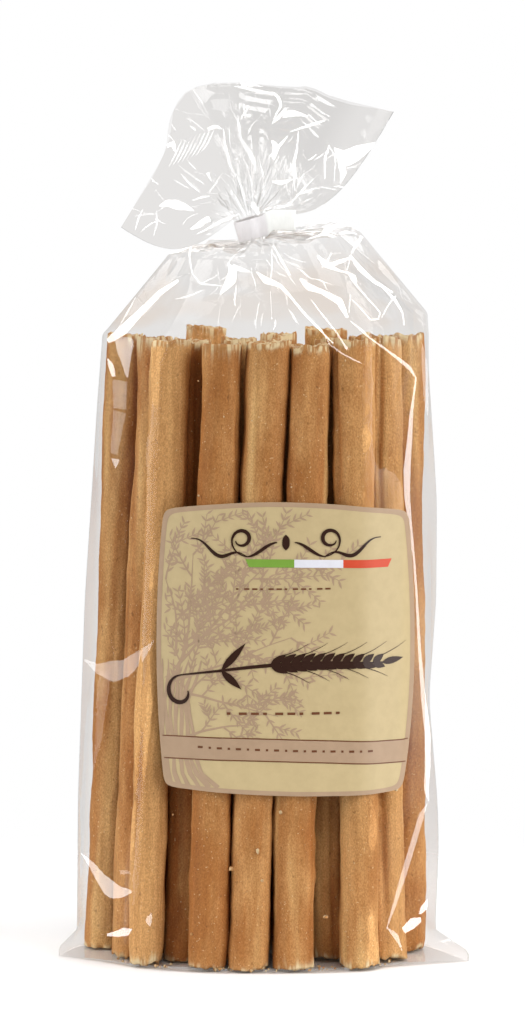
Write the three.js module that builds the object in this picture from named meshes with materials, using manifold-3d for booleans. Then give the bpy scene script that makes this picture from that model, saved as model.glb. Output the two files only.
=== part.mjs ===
// A clear film bag of grissini breadsticks that stands on its flat base: the filled bag with its
// gathered neck and open frill, the flat tie round the neck, and the label on the front.
// Millimetres, +Z up, the label faces -Y. The origin is the middle of the base.
import * as THREE from "three";
import { mergeVertices } from "three/addons/utils/BufferGeometryUtils.js";
import Module from "manifold-3d";

const wasm = await Module();
wasm.setup();

// Driving dimensions
const STICK_TOP = 205; // height at which the breadsticks end and the film starts to close
const BASE = { left: 61.2, right: 57.6, depth: 29.2 }; // half sizes of the filled bag at the floor
const TOP = { left: 53.4, right: 53.0, depth: 27.6 }; // and at the height of the stick ends
const LENS = { power: 3.2, fullness: 0.75 }; // how full the bag's lens-shaped section is
const AROUND = 96; // points round each section of the bag
const NECK = { x: -3.2, z: 239.6, radius: 4.6, tilt: 16, reach: 4.8 }; // reach: half its length
const TIE = { width: 6.8, thick: 0.6, gap: 0.5, tail: 10.4, tailThick: 1.4 };
const LABEL = { x: 7.1, z: 106.6, halfWidth: 41.7, halfHeight: 48.7, thick: 0.4, gap: 0.3 };
const FIN = { thick: 1.2, overlap: 8 }; // the seam's end at each bottom corner
const FRILL = { startAngle: 191, endAngle: 36, mouth: 17, edge: 1.3, wave: 3.6, waves: 2.2 };
// The frill's length from the neck, at shares of the way from its left crease to its right one.
const FRILL_LENGTHS = [
  [0, 39.4],
  [0.05, 41.7],
  [0.26, 34.9],
  [0.4, 40.4],
  [0.49, 47],
  [0.65, 43],
  [0.81, 47.4],
  [0.92, 51.3],
  [1, 57.2],
];
// How far the closing film has dropped, from the neck (0) to the breadsticks' ends (1), at shares
// of the way out: along its left crease, down its front and back, and along its right crease.
const DROP = {
  left: [[0, 0], [0.37, 0.014], [0.53, 0.1], [0.58, 0.2], [0.94, 0.88], [1, 1]],
  front: [[0, 0], [0.3, 0.03], [0.55, 0.16], [0.78, 0.46], [0.93, 0.82], [1, 1]],
  right: [[0, 0], [0.2, -0.02], [0.49, -0.115], [0.557, -0.057], [0.99, 0.78], [1, 1]],
};

const lerp = THREE.MathUtils.lerp;
const smooth = THREE.MathUtils.smoothstep;
const radians = THREE.MathUtils.degToRad;
const tilt = radians(NECK.tilt);
const across = new THREE.Vector3(Math.cos(tilt), 0, Math.sin(tilt)); // along the tie's band
const axis = new THREE.Vector3(-Math.sin(tilt), 0, Math.cos(tilt)); // along the gathered neck
const neckMiddle = new THREE.Vector3(NECK.x, 0, NECK.z);

// Depth of the unit lens at x from -1 to 1
const lensDepth = (x) => (1 - Math.abs(x) ** LENS.power) ** LENS.fullness;

// Unit x of points at even steps along the front of a section, from the left crease to the right
function evenSteps(count) {
  const fine = 2000;
  const xs = [];
  const along = [0];
  const halfWidth = (BASE.left + BASE.right) / 2;
  for (let i = 0; i <= fine; i++) xs.push(-Math.cos((Math.PI * i) / fine));
  for (let i = 1; i <= fine; i++) {
    const dx = (xs[i] - xs[i - 1]) * halfWidth;
    const dy = (lensDepth(xs[i]) - lensDepth(xs[i - 1])) * BASE.depth;
    along.push(along[i - 1] + Math.hypot(dx, dy));
  }
  const steps = [];
  for (let k = 0, i = 0; k <= count; k++) {
    const wanted = (along[fine] * k) / count;
    while (i < fine - 1 && along[i + 1] < wanted) i++;
    const share = (wanted - along[i]) / (along[i + 1] - along[i]);
    steps.push(lerp(xs[i], xs[i + 1], Math.min(1, share)));
  }
  return steps;
}

const HALF = AROUND / 2;
const steps = evenSteps(HALF);
const frontSide = (i) => i <= HALF;
const shareAcross = (i) => (frontSide(i) ? i : AROUND - i) / HALF; // 0 left crease, 1 right crease

// Half sizes of the bag's body at a height
function sizes(z) {
  const up = z / STICK_TOP;
  return {
    left: lerp(BASE.left, TOP.left, up),
    right: lerp(BASE.right, TOP.right, up),
    depth: lerp(BASE.depth, TOP.depth, up),
  };
}

// How far the front of the body stands forward at a place across and a height
function frontAt(x, z) {
  const size = sizes(z);
  return size.depth * lensDepth(x / (x < 0 ? size.left : size.right));
}

function bodyPoint(i, z, inset = 1) {
  const size = sizes(z);
  const unit = steps[frontSide(i) ? i : AROUND - i];
  const x = unit * (unit < 0 ? size.left : size.right) * inset;
  const y = lensDepth(unit) * size.depth * inset;
  return new THREE.Vector3(x, frontSide(i) ? -y : y, z);
}

// A point of the gathered neck: height is measured along its tilted axis
function neckPoint(i, height) {
  const angle = (2 * Math.PI * i) / AROUND;
  return neckMiddle
    .clone()
    .addScaledVector(axis, height)
    .addScaledVector(across, -NECK.radius * Math.cos(angle))
    .add(new THREE.Vector3(0, -NECK.radius * Math.sin(angle), 0));
}

const foldWave = (t) => 1 - 4 * Math.abs(t - Math.floor(t) - 0.5); // straight-sided, -1 to 1

// A value between the pairs of a table whose first numbers rise
function lookUp(table, at) {
  const k = table.findIndex(([start]) => start >= at);
  if (k < 1) return table[k < 0 ? table.length - 1 : 0][1];
  const [a, b] = [table[k - 1], table[k]];
  return lerp(a[1], b[1], (at - a[0]) / (b[0] - a[0]));
}

// The film between the stick ends (out = 1) and the neck (out = 0)
function shoulderPoint(i, out) {
  const FOLDS = { count: 11, height: 1.6 };
  const low = bodyPoint(i, STICK_TOP);
  const high = neckPoint(i, -NECK.reach);
  const leftness = Math.cos((2 * Math.PI * i) / AROUND);
  const side = leftness > 0 ? DROP.left : DROP.right;
  const drop = lerp(lookUp(DROP.front, out), lookUp(side, out), smooth(Math.abs(leftness), 0.1, 0.8));
  const hump = Math.sin(Math.PI * THREE.MathUtils.clamp((out - 0.16) / 0.7, 0, 1)) ** 2;
  const fold = FOLDS.height * foldWave((FOLDS.count * i) / AROUND) * out * (1 - out) ** 2 * 5;
  const point = new THREE.Vector3().lerpVectors(high, low, out);
  point.z = high.z - (high.z - low.z) * drop + fold * hump;
  return point;
}

// The frill fans out in a plane from the neck's upper end: two layers that meet at the creases
function frillPoint(i, out) {
  const SAG = { left: 7, right: 12 }; // how far each crease bows below a straight line
  const start = neckMiddle.clone().addScaledVector(axis, NECK.reach);
  const share = shareAcross(i);
  const angle = radians(lerp(FRILL.startAngle, FRILL.endAngle, share));
  const radius = lerp(NECK.radius, lookUp(FRILL_LENGTHS, share), out);
  const bow = Math.sin(Math.PI * out);
  const sag = bow * (SAG.left * (1 - smooth(share, 0, 0.3)) + SAG.right * smooth(share, 0.6, 1));
  const spread = Math.sin(Math.PI * share);
  const gathered = 2 * NECK.radius * spread * (1 - out) ** 3;
  const thick = FRILL.edge + gathered + FRILL.mouth * out * spread ** 0.7;
  const sway = FRILL.wave * out * Math.sin(2 * Math.PI * FRILL.waves * share + 0.6);
  const fanned = new THREE.Vector3(
    start.x + radius * Math.cos(angle),
    sway * spread + (frontSide(i) ? -thick / 2 : thick / 2),
    start.z + radius * Math.sin(angle) - sag,
  );
  if (i % HALF === 0) fanned.y = 0;
  return neckPoint(i, NECK.reach).lerp(fanned, smooth(out, 0, 0.16));
}

// Skins closed rings of AROUND points, with a flat fan below and a strip that shuts the mouth
function skin(rings) {
  const points = rings.flat();
  const faces = [];
  rings.slice(1).forEach((_, j) => {
    for (let i = 0; i < AROUND; i++) {
      const [a, b] = [j * AROUND + i, j * AROUND + ((i + 1) % AROUND)];
      faces.push(a, b, b + AROUND, a, b + AROUND, a + AROUND);
    }
  });
  points.push(new THREE.Vector3(0, 0, rings[0][0].z));
  for (let i = 0; i < AROUND; i++) faces.push(points.length - 1, (i + 1) % AROUND, i);
  const last = (rings.length - 1) * AROUND;
  for (let i = 0; i < HALF; i++) {
    const opposite = (AROUND - i) % AROUND;
    if (i < HALF - 1) faces.push(last + i, last + i + 1, last + AROUND - i - 1);
    else faces.push(last + i, last + i + 1, last + opposite);
    if (i > 0 && i < HALF - 1) faces.push(last + i, last + AROUND - i - 1, last + opposite);
  }
  const geometry = new THREE.BufferGeometry().setFromPoints(points);
  geometry.setIndex(faces);
  return geometry;
}

function toSolid(geometry) {
  const bare = geometry.clone();
  bare.deleteAttribute("normal");
  bare.deleteAttribute("uv");
  const merged = mergeVertices(bare, 1e-4);
  const vertProperties = new Float32Array(merged.attributes.position.array);
  const triVerts = new Uint32Array(merged.index.array);
  return new wasm.Manifold(new wasm.Mesh({ numProp: 3, vertProperties, triVerts }));
}

function toGeometry(solid) {
  const mesh = solid.getMesh();
  const points = new Float32Array(mesh.numVert * 3);
  for (let i = 0; i < mesh.numVert; i++) {
    points.set(mesh.vertProperties.subarray(i * mesh.numProp, i * mesh.numProp + 3), i * 3);
  }
  const geometry = new THREE.BufferGeometry();
  geometry.setAttribute("position", new THREE.BufferAttribute(points, 3));
  geometry.setIndex(new THREE.BufferAttribute(mesh.triVerts, 1));
  return geometry;
}

// A thin upright fin of film in the plane of the bottom seam, outlined in x and z
function fin(outline) {
  const shape = new THREE.Shape(outline.map(([x, z]) => new THREE.Vector2(x, z)));
  const plate = new THREE.ExtrudeGeometry(shape, { depth: FIN.thick, bevelEnabled: false });
  return plate.rotateX(Math.PI / 2).translate(0, FIN.thick / 2, 0);
}

function bag() {
  const heights = [2.5, 40, 80, 120, 160, 190, STICK_TOP];
  const indices = [...Array(AROUND).keys()];
  const rings = [indices.map((i) => bodyPoint(i, 0, 0.985))];
  for (const z of heights) rings.push(indices.map((i) => bodyPoint(i, z)));
  const shoulder = 13;
  for (let k = shoulder - 1; k > 0; k--) {
    rings.push(indices.map((i) => shoulderPoint(i, (k / shoulder) ** 0.8)));
  }
  for (const share of [-1, 0, 1]) rings.push(indices.map((i) => neckPoint(i, share * NECK.reach)));
  const frill = 10;
  for (let k = 1; k <= frill; k++) rings.push(indices.map((i) => frillPoint(i, (k / frill) ** 1.2)));
  const inner = FIN.overlap;
  const [l, r] = [-BASE.left, BASE.right];
  const left = fin([[l + inner, 0], [l + inner, 16], [l + 0.6, 13], [l - 4.4, 2.2], [l - 3.4, 0]]);
  const right = fin([[r - inner, 0], [r + 8, 0], [r + 7, 5], [r - 2, 9], [r - inner, 12]]);
  return toGeometry(toSolid(skin(rings)).add(toSolid(left)).add(toSolid(right)));
}

// The flat band: a loop round the neck whose two ends lie together as a short level tail
function tie() {
  const inner = NECK.radius + TIE.gap;
  const outer = inner + TIE.thick;
  const half = Math.asin(TIE.tailThick / 2 / outer);
  const side = -0.9; // where the tail leaves the loop: front right, in radians
  const shape = new THREE.Shape();
  shape.absarc(0, 0, outer, side + half, side - half + 2 * Math.PI, false);
  const root = new THREE.Vector2(Math.cos(side - half), Math.sin(side - half)).multiplyScalar(outer);
  const rootOther = new THREE.Vector2(Math.cos(side + half), Math.sin(side + half)).multiplyScalar(outer);
  shape.lineTo(root.x + TIE.tail, root.y);
  shape.lineTo(root.x + TIE.tail, rootOther.y);
  shape.closePath();
  shape.holes.push(new THREE.Path().absarc(0, 0, inner, 0, 2 * Math.PI, true));
  const options = { depth: TIE.width, bevelEnabled: false, curveSegments: 40 };
  const band = new THREE.ExtrudeGeometry(shape, options).translate(0, 0, -TIE.width / 2);
  band.applyMatrix4(new THREE.Matrix4().makeRotationY(-tilt));
  const position = band.attributes.position;
  for (let i = 0; i < position.count; i++) {
    const past = Math.max(0, position.getX(i) - outer);
    position.setZ(i, position.getZ(i) - past * Math.tan(tilt)); // the tail levels out
  }
  return band.translate(neckMiddle.x, 0, neckMiddle.z);
}

// The label: a barrel-shaped plate with rounded corners that follows the front of the bag
function label() {
  const [columns, rows] = [30, 10];
  const CORNER = 36; // power of the rounded square: higher is sharper
  const BARREL = { sides: 0.058, ends: 0.07 };
  const points = [];
  for (const lift of [LABEL.gap, LABEL.gap + LABEL.thick]) {
    for (let r = 0; r <= rows; r++) {
      for (let c = 0; c <= columns; c++) {
        let [p, q] = [(2 * c) / columns - 1, (2 * r) / rows - 1];
        const size = Math.max(Math.abs(p), Math.abs(q), 1e-6);
        const round = size / (Math.abs(p) ** CORNER + Math.abs(q) ** CORNER + 1e-300) ** (1 / CORNER);
        [p, q] = [p * Math.min(1, round), q * Math.min(1, round)];
        const x = LABEL.x + LABEL.halfWidth * (1 - BARREL.sides * q * q) * p;
        const z = LABEL.z + LABEL.halfHeight * (1 - BARREL.ends * p * p) * q;
        points.push(new THREE.Vector3(x, -frontAt(x, z) - lift, z));
      }
    }
  }
  const row = columns + 1;
  const sheet = row * (rows + 1);
  const faces = [];
  const quad = (a, b, c, d) => faces.push(a, b, c, a, c, d);
  for (let r = 0; r < rows; r++) {
    for (let c = 0; c < columns; c++) {
      const a = r * row + c;
      quad(a + sheet, a + 1 + sheet, a + row + 1 + sheet, a + row + sheet);
      quad(a, a + row, a + row + 1, a + 1);
    }
  }
  for (let c = 0; c < columns; c++) {
    const top = rows * row + c;
    quad(c, c + 1, c + 1 + sheet, c + sheet);
    quad(top + 1, top, top + sheet, top + 1 + sheet);
  }
  for (let r = 0; r < rows; r++) {
    const [left, right] = [r * row, r * row + columns];
    quad(left + row, left, left + sheet, left + row + sheet);
    quad(right, right + row, right + row + sheet, right + sheet);
  }
  const geometry = new THREE.BufferGeometry().setFromPoints(points);
  geometry.setIndex(faces);
  return geometry;
}

function piece(name, geometry, color, roughness) {
  const material = new THREE.MeshStandardMaterial({ color, roughness, metalness: 0 });
  const mesh = new THREE.Mesh(geometry, material);
  mesh.name = name;
  return mesh;
}

const pack = new THREE.Group();
pack.add(piece("bag", bag(), 0xc89a62, 0.5));
pack.add(piece("neck_tie", tie(), 0xf0eeec, 0.55));
pack.add(piece("label", label(), 0xcfba8f, 0.6));

// The origin is the middle of the whole pack's base
const box = new THREE.Box3().setFromObject(pack);
const middle = box.getCenter(new THREE.Vector3());
pack.children.forEach((mesh) => mesh.position.set(-middle.x, -middle.y, -box.min.z));

export default pack;
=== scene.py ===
"""A clear film bag of grissini breadsticks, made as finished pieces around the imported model.

It is laid out as an add-on: the sizes and colours are properties, each piece or group of like
pieces has an operator, and a panel in the 3D view's sidebar lists them. Run as a script, it makes
every piece in order. Layout numbers are in millimetres, and MM turns them into metres. The bag
stands on the floor with its label to -Y.
"""
import math
from itertools import combinations

import bpy
import numpy as np
from bpy.props import FloatProperty, FloatVectorProperty, IntProperty, PointerProperty
from bpy.types import Operator, Panel, PropertyGroup
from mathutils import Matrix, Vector
from mathutils.bvhtree import BVHTree
from mathutils.geometry import delaunay_2d_cdt


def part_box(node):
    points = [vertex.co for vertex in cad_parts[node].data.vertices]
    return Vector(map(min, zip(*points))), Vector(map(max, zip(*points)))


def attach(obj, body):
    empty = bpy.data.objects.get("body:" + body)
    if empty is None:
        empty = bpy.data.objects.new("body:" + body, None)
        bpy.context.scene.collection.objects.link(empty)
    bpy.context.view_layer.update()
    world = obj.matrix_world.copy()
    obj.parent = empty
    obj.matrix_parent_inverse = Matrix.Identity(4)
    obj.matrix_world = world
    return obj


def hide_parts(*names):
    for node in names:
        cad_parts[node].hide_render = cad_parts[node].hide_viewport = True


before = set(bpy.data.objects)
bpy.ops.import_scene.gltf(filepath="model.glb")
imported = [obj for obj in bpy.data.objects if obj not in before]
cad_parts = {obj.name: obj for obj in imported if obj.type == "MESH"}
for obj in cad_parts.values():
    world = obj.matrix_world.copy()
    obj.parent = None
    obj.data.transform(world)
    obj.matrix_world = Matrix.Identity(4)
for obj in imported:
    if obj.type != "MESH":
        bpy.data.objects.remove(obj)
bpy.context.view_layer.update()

bl_info = {
    "name": "Bag of Grissini Breadsticks",
    "version": (1, 0, 0),
    "blender": (4, 5, 0),
    "location": "View3D > Sidebar > Breadsticks",
    "description": "Makes a clear film bag of breadsticks with its label, tie and frill",
    "category": "Add Mesh",
}

MM = 0.001
BODY = "root"

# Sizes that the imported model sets
TIE_LOW, TIE_HIGH = (np.array(corner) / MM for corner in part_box("neck_tie"))
LABEL_LOW, LABEL_HIGH = (np.array(corner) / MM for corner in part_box("label"))
LABEL_CENTRE = (LABEL_LOW + LABEL_HIGH) / 2
LABEL_HALF = (LABEL_HIGH - LABEL_LOW) / 2

# The breadsticks: height of their heads and of their feet above the floor
STICK_TOP = 204.5
STICK_FOOT = 0.7
STICK_SPREAD = 0.9  # how far the film stands off a stick's radius

# Sticks that stand against the front of the film, from left to right: the foot and the head
# (x, y), the thickness at each as a share of the usual one, and how dark the crust is, by its
# baking and as painted shade on sticks that stand in the shade of others
FRONT_STICKS = (
    ((-53.4, 9.4), (-45.1, 8.2), (0.94, 0.9), 0.4),
    ((-44.3, -4.4), (-35.0, -3.2), (0.9, 0.84), 0.25),
    ((-38.8, -15.5), (-29.8, -15.2), (0.86, 0.98), -0.75),
    ((-27.4, -8.8), (-23.0, -6.6), (0.92, 0.9), 0.8),
    ((-18.3, -20.0), (-13.2, -20.2), (1.04, 0.95), 0.55),
    ((-5.2, -21.2), (1.4, -20.2), (0.98, 1.04), 0.1),
    ((9.4, -20.6), (14.8, -20.8), (1.03, 0.96), 0.4),
    ((20.6, -8.8), (22.4, -7.4), (0.92, 0.95), 0.35),
    ((30.9, -18.6), (28.7, -18.4), (0.98, 1.03), -0.1),
    ((40.4, -8.0), (38.0, -8.2), (0.96, 0.95), -0.45),
    ((46.8, 4.2), (46.4, 4.2), (0.94, 0.93), 0.35),
)
# Sticks behind them whose heads show between the front ones, in the same way. The last number is
# how far a stick falls short of the usual length, in millimetres
BACK_STICKS = (
    ((-20.0, 17.6), (-19.2, 19.6), (0.98, 0.97), -0.4, -0.6),
    ((20.6, 17.8), (20.2, 18.4), (1.0, 0.98), -0.1, 0.2),
    ((-6.4, 19.0), (-5.2, 20.4), (0.94, 0.95), 0.2, 4.2),
    ((5.2, 6.4), (4.6, 6.8), (0.95, 0.93), 0.5, -0.4),
    ((-8.0, -6.6), (-8.4, -5.8), (0.92, 0.92), 0.45, 0.6),
    ((8.6, -6.4), (8.0, -6.4), (0.9, 0.9), 0.5, 2.2),
    ((34.0, 16.2), (33.6, 16.8), (0.96, 0.95), 0.1, 2.4),
    ((-35.0, 14.6), (-33.0, 15.0), (0.96, 0.95), 0.2, 7.5),
)
BACK_ROW = 12  # sticks that stand further back than this show through the back of the film
# Shorter ones that fill the room left over: rows of depth, first and last place across, how many
INNER_ROWS = ((4.6, -37.0, 34.0, 5), (18.0, 6.0, 44.0, 2))

# The gathered neck, whose axis leans to the left
NECK_CENTRE = np.array([TIE_LOW[0] + 5.7, 0.0, 239.6])
NECK_RADIUS = 4.5
NECK_TILT = math.radians(16.5)
NECK_REACH = 4.6  # half its length
BAND_RADIUS, BAND_WIDTH = NECK_RADIUS + 0.55, 6.6  # the tie's loop round it
NECK_ACROSS = np.array([math.cos(NECK_TILT), 0.0, math.sin(NECK_TILT)])
NECK_AXIS = np.array([-math.sin(NECK_TILT), 0.0, math.cos(NECK_TILT)])
# The film's creases down its two sides: height, place across
LEFT_CREASE = (
    (0, -61.8), (52, -61.1), (85, -59.8), (118, -58.5), (151, -56.2), (184, -54.0), (204, -52.3),
)
RIGHT_CREASE = (
    (0, 56.2), (36, 57.5), (52, 56.9), (85, 54.0), (118, 56.2), (151, 56.2), (184, 54.0),
    (204, 52.4),
)
CREASE_DEPTH = 1.5  # how far behind the middle they stand
# How far the closing film has dropped, from the neck (0) to the breadsticks' ends (1), at shares of
# the way out: along its left crease, down its front and back, and along its right crease
LEFT_DROP = ((0, 0), (0.37, 0.014), (0.53, 0.1), (0.58, 0.2), (0.94, 0.88), (1, 1))
FRONT_DROP = ((0, 0), (0.3, 0.03), (0.55, 0.16), (0.78, 0.46), (0.93, 0.82), (1, 1))
RIGHT_DROP = ((0, 0), (0.2, -0.05), (0.49, -0.115), (0.557, -0.057), (0.99, 0.78), (1, 1))
HALF_ROUND = 200  # mesh steps across the front of the film, and as many across its back
# The two corners of the seam under the bag: how far each draws the film out, and how far forward
# it bends for each millimetre out
LEFT_EAR, RIGHT_EAR = 5.6, 10.8
EAR_BEND = 1.3
# The stiff label holds the film flat behind it: x and y of the film at the label's two edges, and
# its y there far above and below the label
HELD_EDGES = ((-35.5, -21.0), (45.5, -17.0))
LOOSE_DEPTH = -4.0
HELD_PAST = 24  # how far above and below the label the film is still held

# The frill's mouth from its left tip over the top to its right tip (x, z)
MOUTH = (
    (-46.1, 239.8),
    (-40.6, 248.6),
    (-35.4, 257.2),
    (-31.2, 265.7),
    (-29.9, 274.0),
    (-28.9, 278.6),
    (-24.0, 284.4),
    (-13.3, 286.4),
    (10.0, 284.8),
    (14.6, 285.2),
    (23.1, 281.0),
    (41.6, 277.0),
)
# How far its front and back stand off its middle plane, at its left and from its top on
LEFT_GAPE, RIGHT_GAPE = 8.5, 1.4


# ---------------------------------------------------------------------------------------------
# Shapes of numbers
# ---------------------------------------------------------------------------------------------


def smoothstep(value, low, high):
    """0 at low and 1 at high with a smooth rise between them. low may be the greater one."""
    share = np.clip((np.asarray(value, float) - low) / (high - low), 0, 1)
    return share * share * (3 - 2 * share)


def mix(a, b, share):
    """a where the share is 0, b where it is 1, and evenly between them."""
    return a + (b - a) * share


def read_off(line, place):
    """The value at a place of a broken line, given as pairs of place and value."""
    return np.interp(place, *zip(*line))


def triangle_wave(turns):
    """A straight-sided wave from -1 to 1."""
    return 1 - 4 * np.abs(turns - np.floor(turns) - 0.5)


def soft_noise(rng, columns, rows, around, along):
    """Smooth random heights from -1 to 1. around wraps at 1, and along runs from 0 to 1."""
    grid = rng.uniform(-1, 1, (rows + 2, columns))
    across, up = around * columns, np.clip(along, 0, 1) * rows
    left, low = np.floor(across).astype(int), np.floor(up).astype(int)
    right, high = (left + 1) % columns, low + 1
    left = left % columns
    s, t = across - np.floor(across), up - np.floor(up)
    s, t = s * s * (3 - 2 * s), t * t * (3 - 2 * t)
    below = mix(grid[low, left], grid[low, right], s)
    above = mix(grid[high, left], grid[high, right], s)
    return mix(below, above, t)


def crumple(rng, columns, rows, across, along):
    """Heights from -1 to 1 of a crumpled sheet: flat triangles that meet in sharp creases.
    across and along are rising shares of the sheet's width and length."""
    corners = []
    for i in range(columns + 1):
        for j in range(rows + 1):
            place = (np.array([i, j]) + rng.uniform(-0.42, 0.42, 2)) / (columns, rows)
            corners.append(place * 1.3 - 0.15)
    made = delaunay_2d_cdt([Vector(place) for place in corners], [], [], 0, 1e-7)
    places = np.array([tuple(place) for place in made[0]])
    heights = rng.uniform(-1, 1, len(places))
    out = np.zeros((len(along), len(across)))
    for corner in made[2]:
        (ax, ay), (bx, by), (cx, cy) = places[corner]
        left, right = np.searchsorted(across, (min(ax, bx, cx), max(ax, bx, cx)))
        low, high = np.searchsorted(along, (min(ay, by, cy), max(ay, by, cy)))
        x, y = across[None, left:right] - cx, along[low:high, None] - cy
        area = (by - cy) * (ax - cx) + (cx - bx) * (ay - cy)
        s = ((by - cy) * x + (cx - bx) * y) / area
        t = ((cy - ay) * x + (ax - cx) * y) / area
        inside = (s >= 0) & (t >= 0) & (s + t <= 1)
        flat = s * heights[corner[0]] + t * heights[corner[1]] + (1 - s - t) * heights[corner[2]]
        out[low:high, left:right][inside] = flat[inside]
    return out


def round_trip(front, back):
    """Joins values along the front and the back, each from left to right, into rings."""
    return np.concatenate([front[..., :-1], back[..., :0:-1]], -1)


def along_line(line, share):
    """Points at shares from 0 to 1 of the length of a line of points."""
    line = np.asarray(line, float)
    lengths = np.concatenate([[0], np.cumsum(np.linalg.norm(np.diff(line, axis=0), axis=1))])
    wanted = np.asarray(share) * lengths[-1]
    return np.stack([np.interp(wanted, lengths, line[:, k]) for k in range(line.shape[1])], -1)


def rounded_line(line, passes=2):
    """The same line with its corners cut off, again and again, so that it turns smoothly."""
    line = np.asarray(line, float)
    for _ in range(passes):
        first = mix(line[:-1], line[1:], 0.25)
        second = mix(line[:-1], line[1:], 0.75)
        middle = np.stack([first, second], 1).reshape(-1, line.shape[1])
        line = np.concatenate([line[:1], middle[1:-1], line[-1:]])
    return line


def sideways(line):
    """Unit directions to the left of a flat line, at each of its points."""
    ahead = np.gradient(line, axis=0)
    ahead /= np.maximum(np.linalg.norm(ahead, axis=1, keepdims=True), 1e-9)
    return np.stack([-ahead[:, 1], ahead[:, 0]], -1)


def outward(points, wraps):
    """Unit normals of a grid of points that point out of a bag, whose rings start at its left."""
    if wraps:
        across = np.roll(points, -1, 1) - np.roll(points, 1, 1)
    else:
        across = np.gradient(points, axis=1)
    normal = np.cross(across, np.gradient(points, axis=0))
    length = np.linalg.norm(normal, axis=-1, keepdims=True)
    return normal / np.maximum(length, 1e-9)


def grid_faces(rows, columns, wraps=False, first=0):
    """Quads between the points of a grid that is stored row by row."""
    steps = columns if wraps else columns - 1
    row, column = np.meshgrid(np.arange(rows - 1), np.arange(steps), indexing="ij")
    beside = (column + 1) % columns
    a, b = row * columns + column, row * columns + beside
    return (np.stack([a, b, b + columns, a + columns], -1).reshape(-1, 4) + first).tolist()


# ---------------------------------------------------------------------------------------------
# Pieces and materials
# ---------------------------------------------------------------------------------------------


def make_piece(name, points, faces, material, stands_for=(), values=None):
    """A mesh piece from points in millimetres, fixed to the body. values holds one number or
    vector for each point under each name."""
    mesh = bpy.data.meshes.new(name)
    mesh.from_pydata((np.asarray(points, float) * MM).tolist(), [], faces)
    for label, numbers in (values or {}).items():
        numbers = np.asarray(numbers, float)
        kind = "FLOAT_VECTOR" if numbers.ndim == 2 else "FLOAT"
        attribute = mesh.attributes.new(label, kind, "POINT")
        attribute.data.foreach_set("vector" if numbers.ndim == 2 else "value", numbers.ravel())
    mesh.validate()
    mesh.polygons.foreach_set("use_smooth", [True] * len(mesh.polygons))
    mesh.materials.append(material)
    piece = bpy.data.objects.new(name, mesh)
    bpy.context.scene.collection.objects.link(piece)
    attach(piece, BODY)
    if stands_for:
        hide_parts(*stands_for)
    return piece


class Shader:
    """A material's node tree, built a node at a time."""

    def __init__(self, name):
        self.material = bpy.data.materials.new(name)
        self.material.use_nodes = True
        self.tree = self.material.node_tree
        self.tree.nodes.clear()

    def add(self, kind, inputs=None, **settings):
        """A node whose inputs are set to values, or linked where the value is another's output."""
        node = self.tree.nodes.new(kind)
        for name, value in settings.items():
            setattr(node, name, value)
        for name, value in (inputs or {}).items():
            if isinstance(value, bpy.types.NodeSocket):
                self.tree.links.new(value, node.inputs[name])
            else:
                node.inputs[name].default_value = value
        return node

    def math(self, operation, first, second):
        inputs = {0: first, 1: second}
        return self.add("ShaderNodeMath", inputs, operation=operation).outputs[0]

    def times(self, first, second):
        return self.math("MULTIPLY", first, second)

    def plus(self, first, second):
        return self.math("ADD", first, second)

    def value(self, name, output="Fac"):
        """The values that a piece's points have under a name."""
        return self.add("ShaderNodeAttribute", attribute_name=name).outputs[output]

    def noise(self, place, scale, detail=2.0, stretch=None, roughness=0.5):
        if stretch:
            place = self.add("ShaderNodeMapping", {"Vector": place, "Scale": stretch}).outputs[0]
        inputs = {"Vector": place, "Scale": scale, "Detail": detail, "Roughness": roughness}
        return self.add("ShaderNodeTexNoise", inputs).outputs[0]

    def edges(self, place, scale):
        """How far a place is from the nearest edge of a net of straight-sided cells."""
        inputs = {"Vector": place, "Scale": scale}
        node = self.add("ShaderNodeTexVoronoi", inputs, feature="DISTANCE_TO_EDGE")
        return node.outputs["Distance"]

    def between(self, value, low, high):
        """0 below low and 1 above high, smoothly."""
        inputs = {"Value": value, "From Min": low, "From Max": high}
        return self.add("ShaderNodeMapRange", inputs, interpolation_type="SMOOTHSTEP").outputs[0]

    def blend(self, share, first, second, blend_type="MIX"):
        """Mixes two colours."""
        node = self.add("ShaderNodeMix", data_type="RGBA", blend_type=blend_type)
        for index, value in ((0, share), (6, first), (7, second)):
            if isinstance(value, bpy.types.NodeSocket):
                self.tree.links.new(value, node.inputs[index])
            else:
                node.inputs[index].default_value = value if index == 0 else (*value, 1.0)
        return node.outputs[2]

    def bump(self, height, strength, distance, normal=None):
        inputs = {"Height": height, "Strength": strength, "Distance": distance}
        if normal is not None:
            inputs["Normal"] = normal
        return self.add("ShaderNodeBump", inputs).outputs[0]

    def finish(self, shader):
        self.add("ShaderNodeOutputMaterial", {"Surface": shader.outputs[0]})
        return self.material


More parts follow.
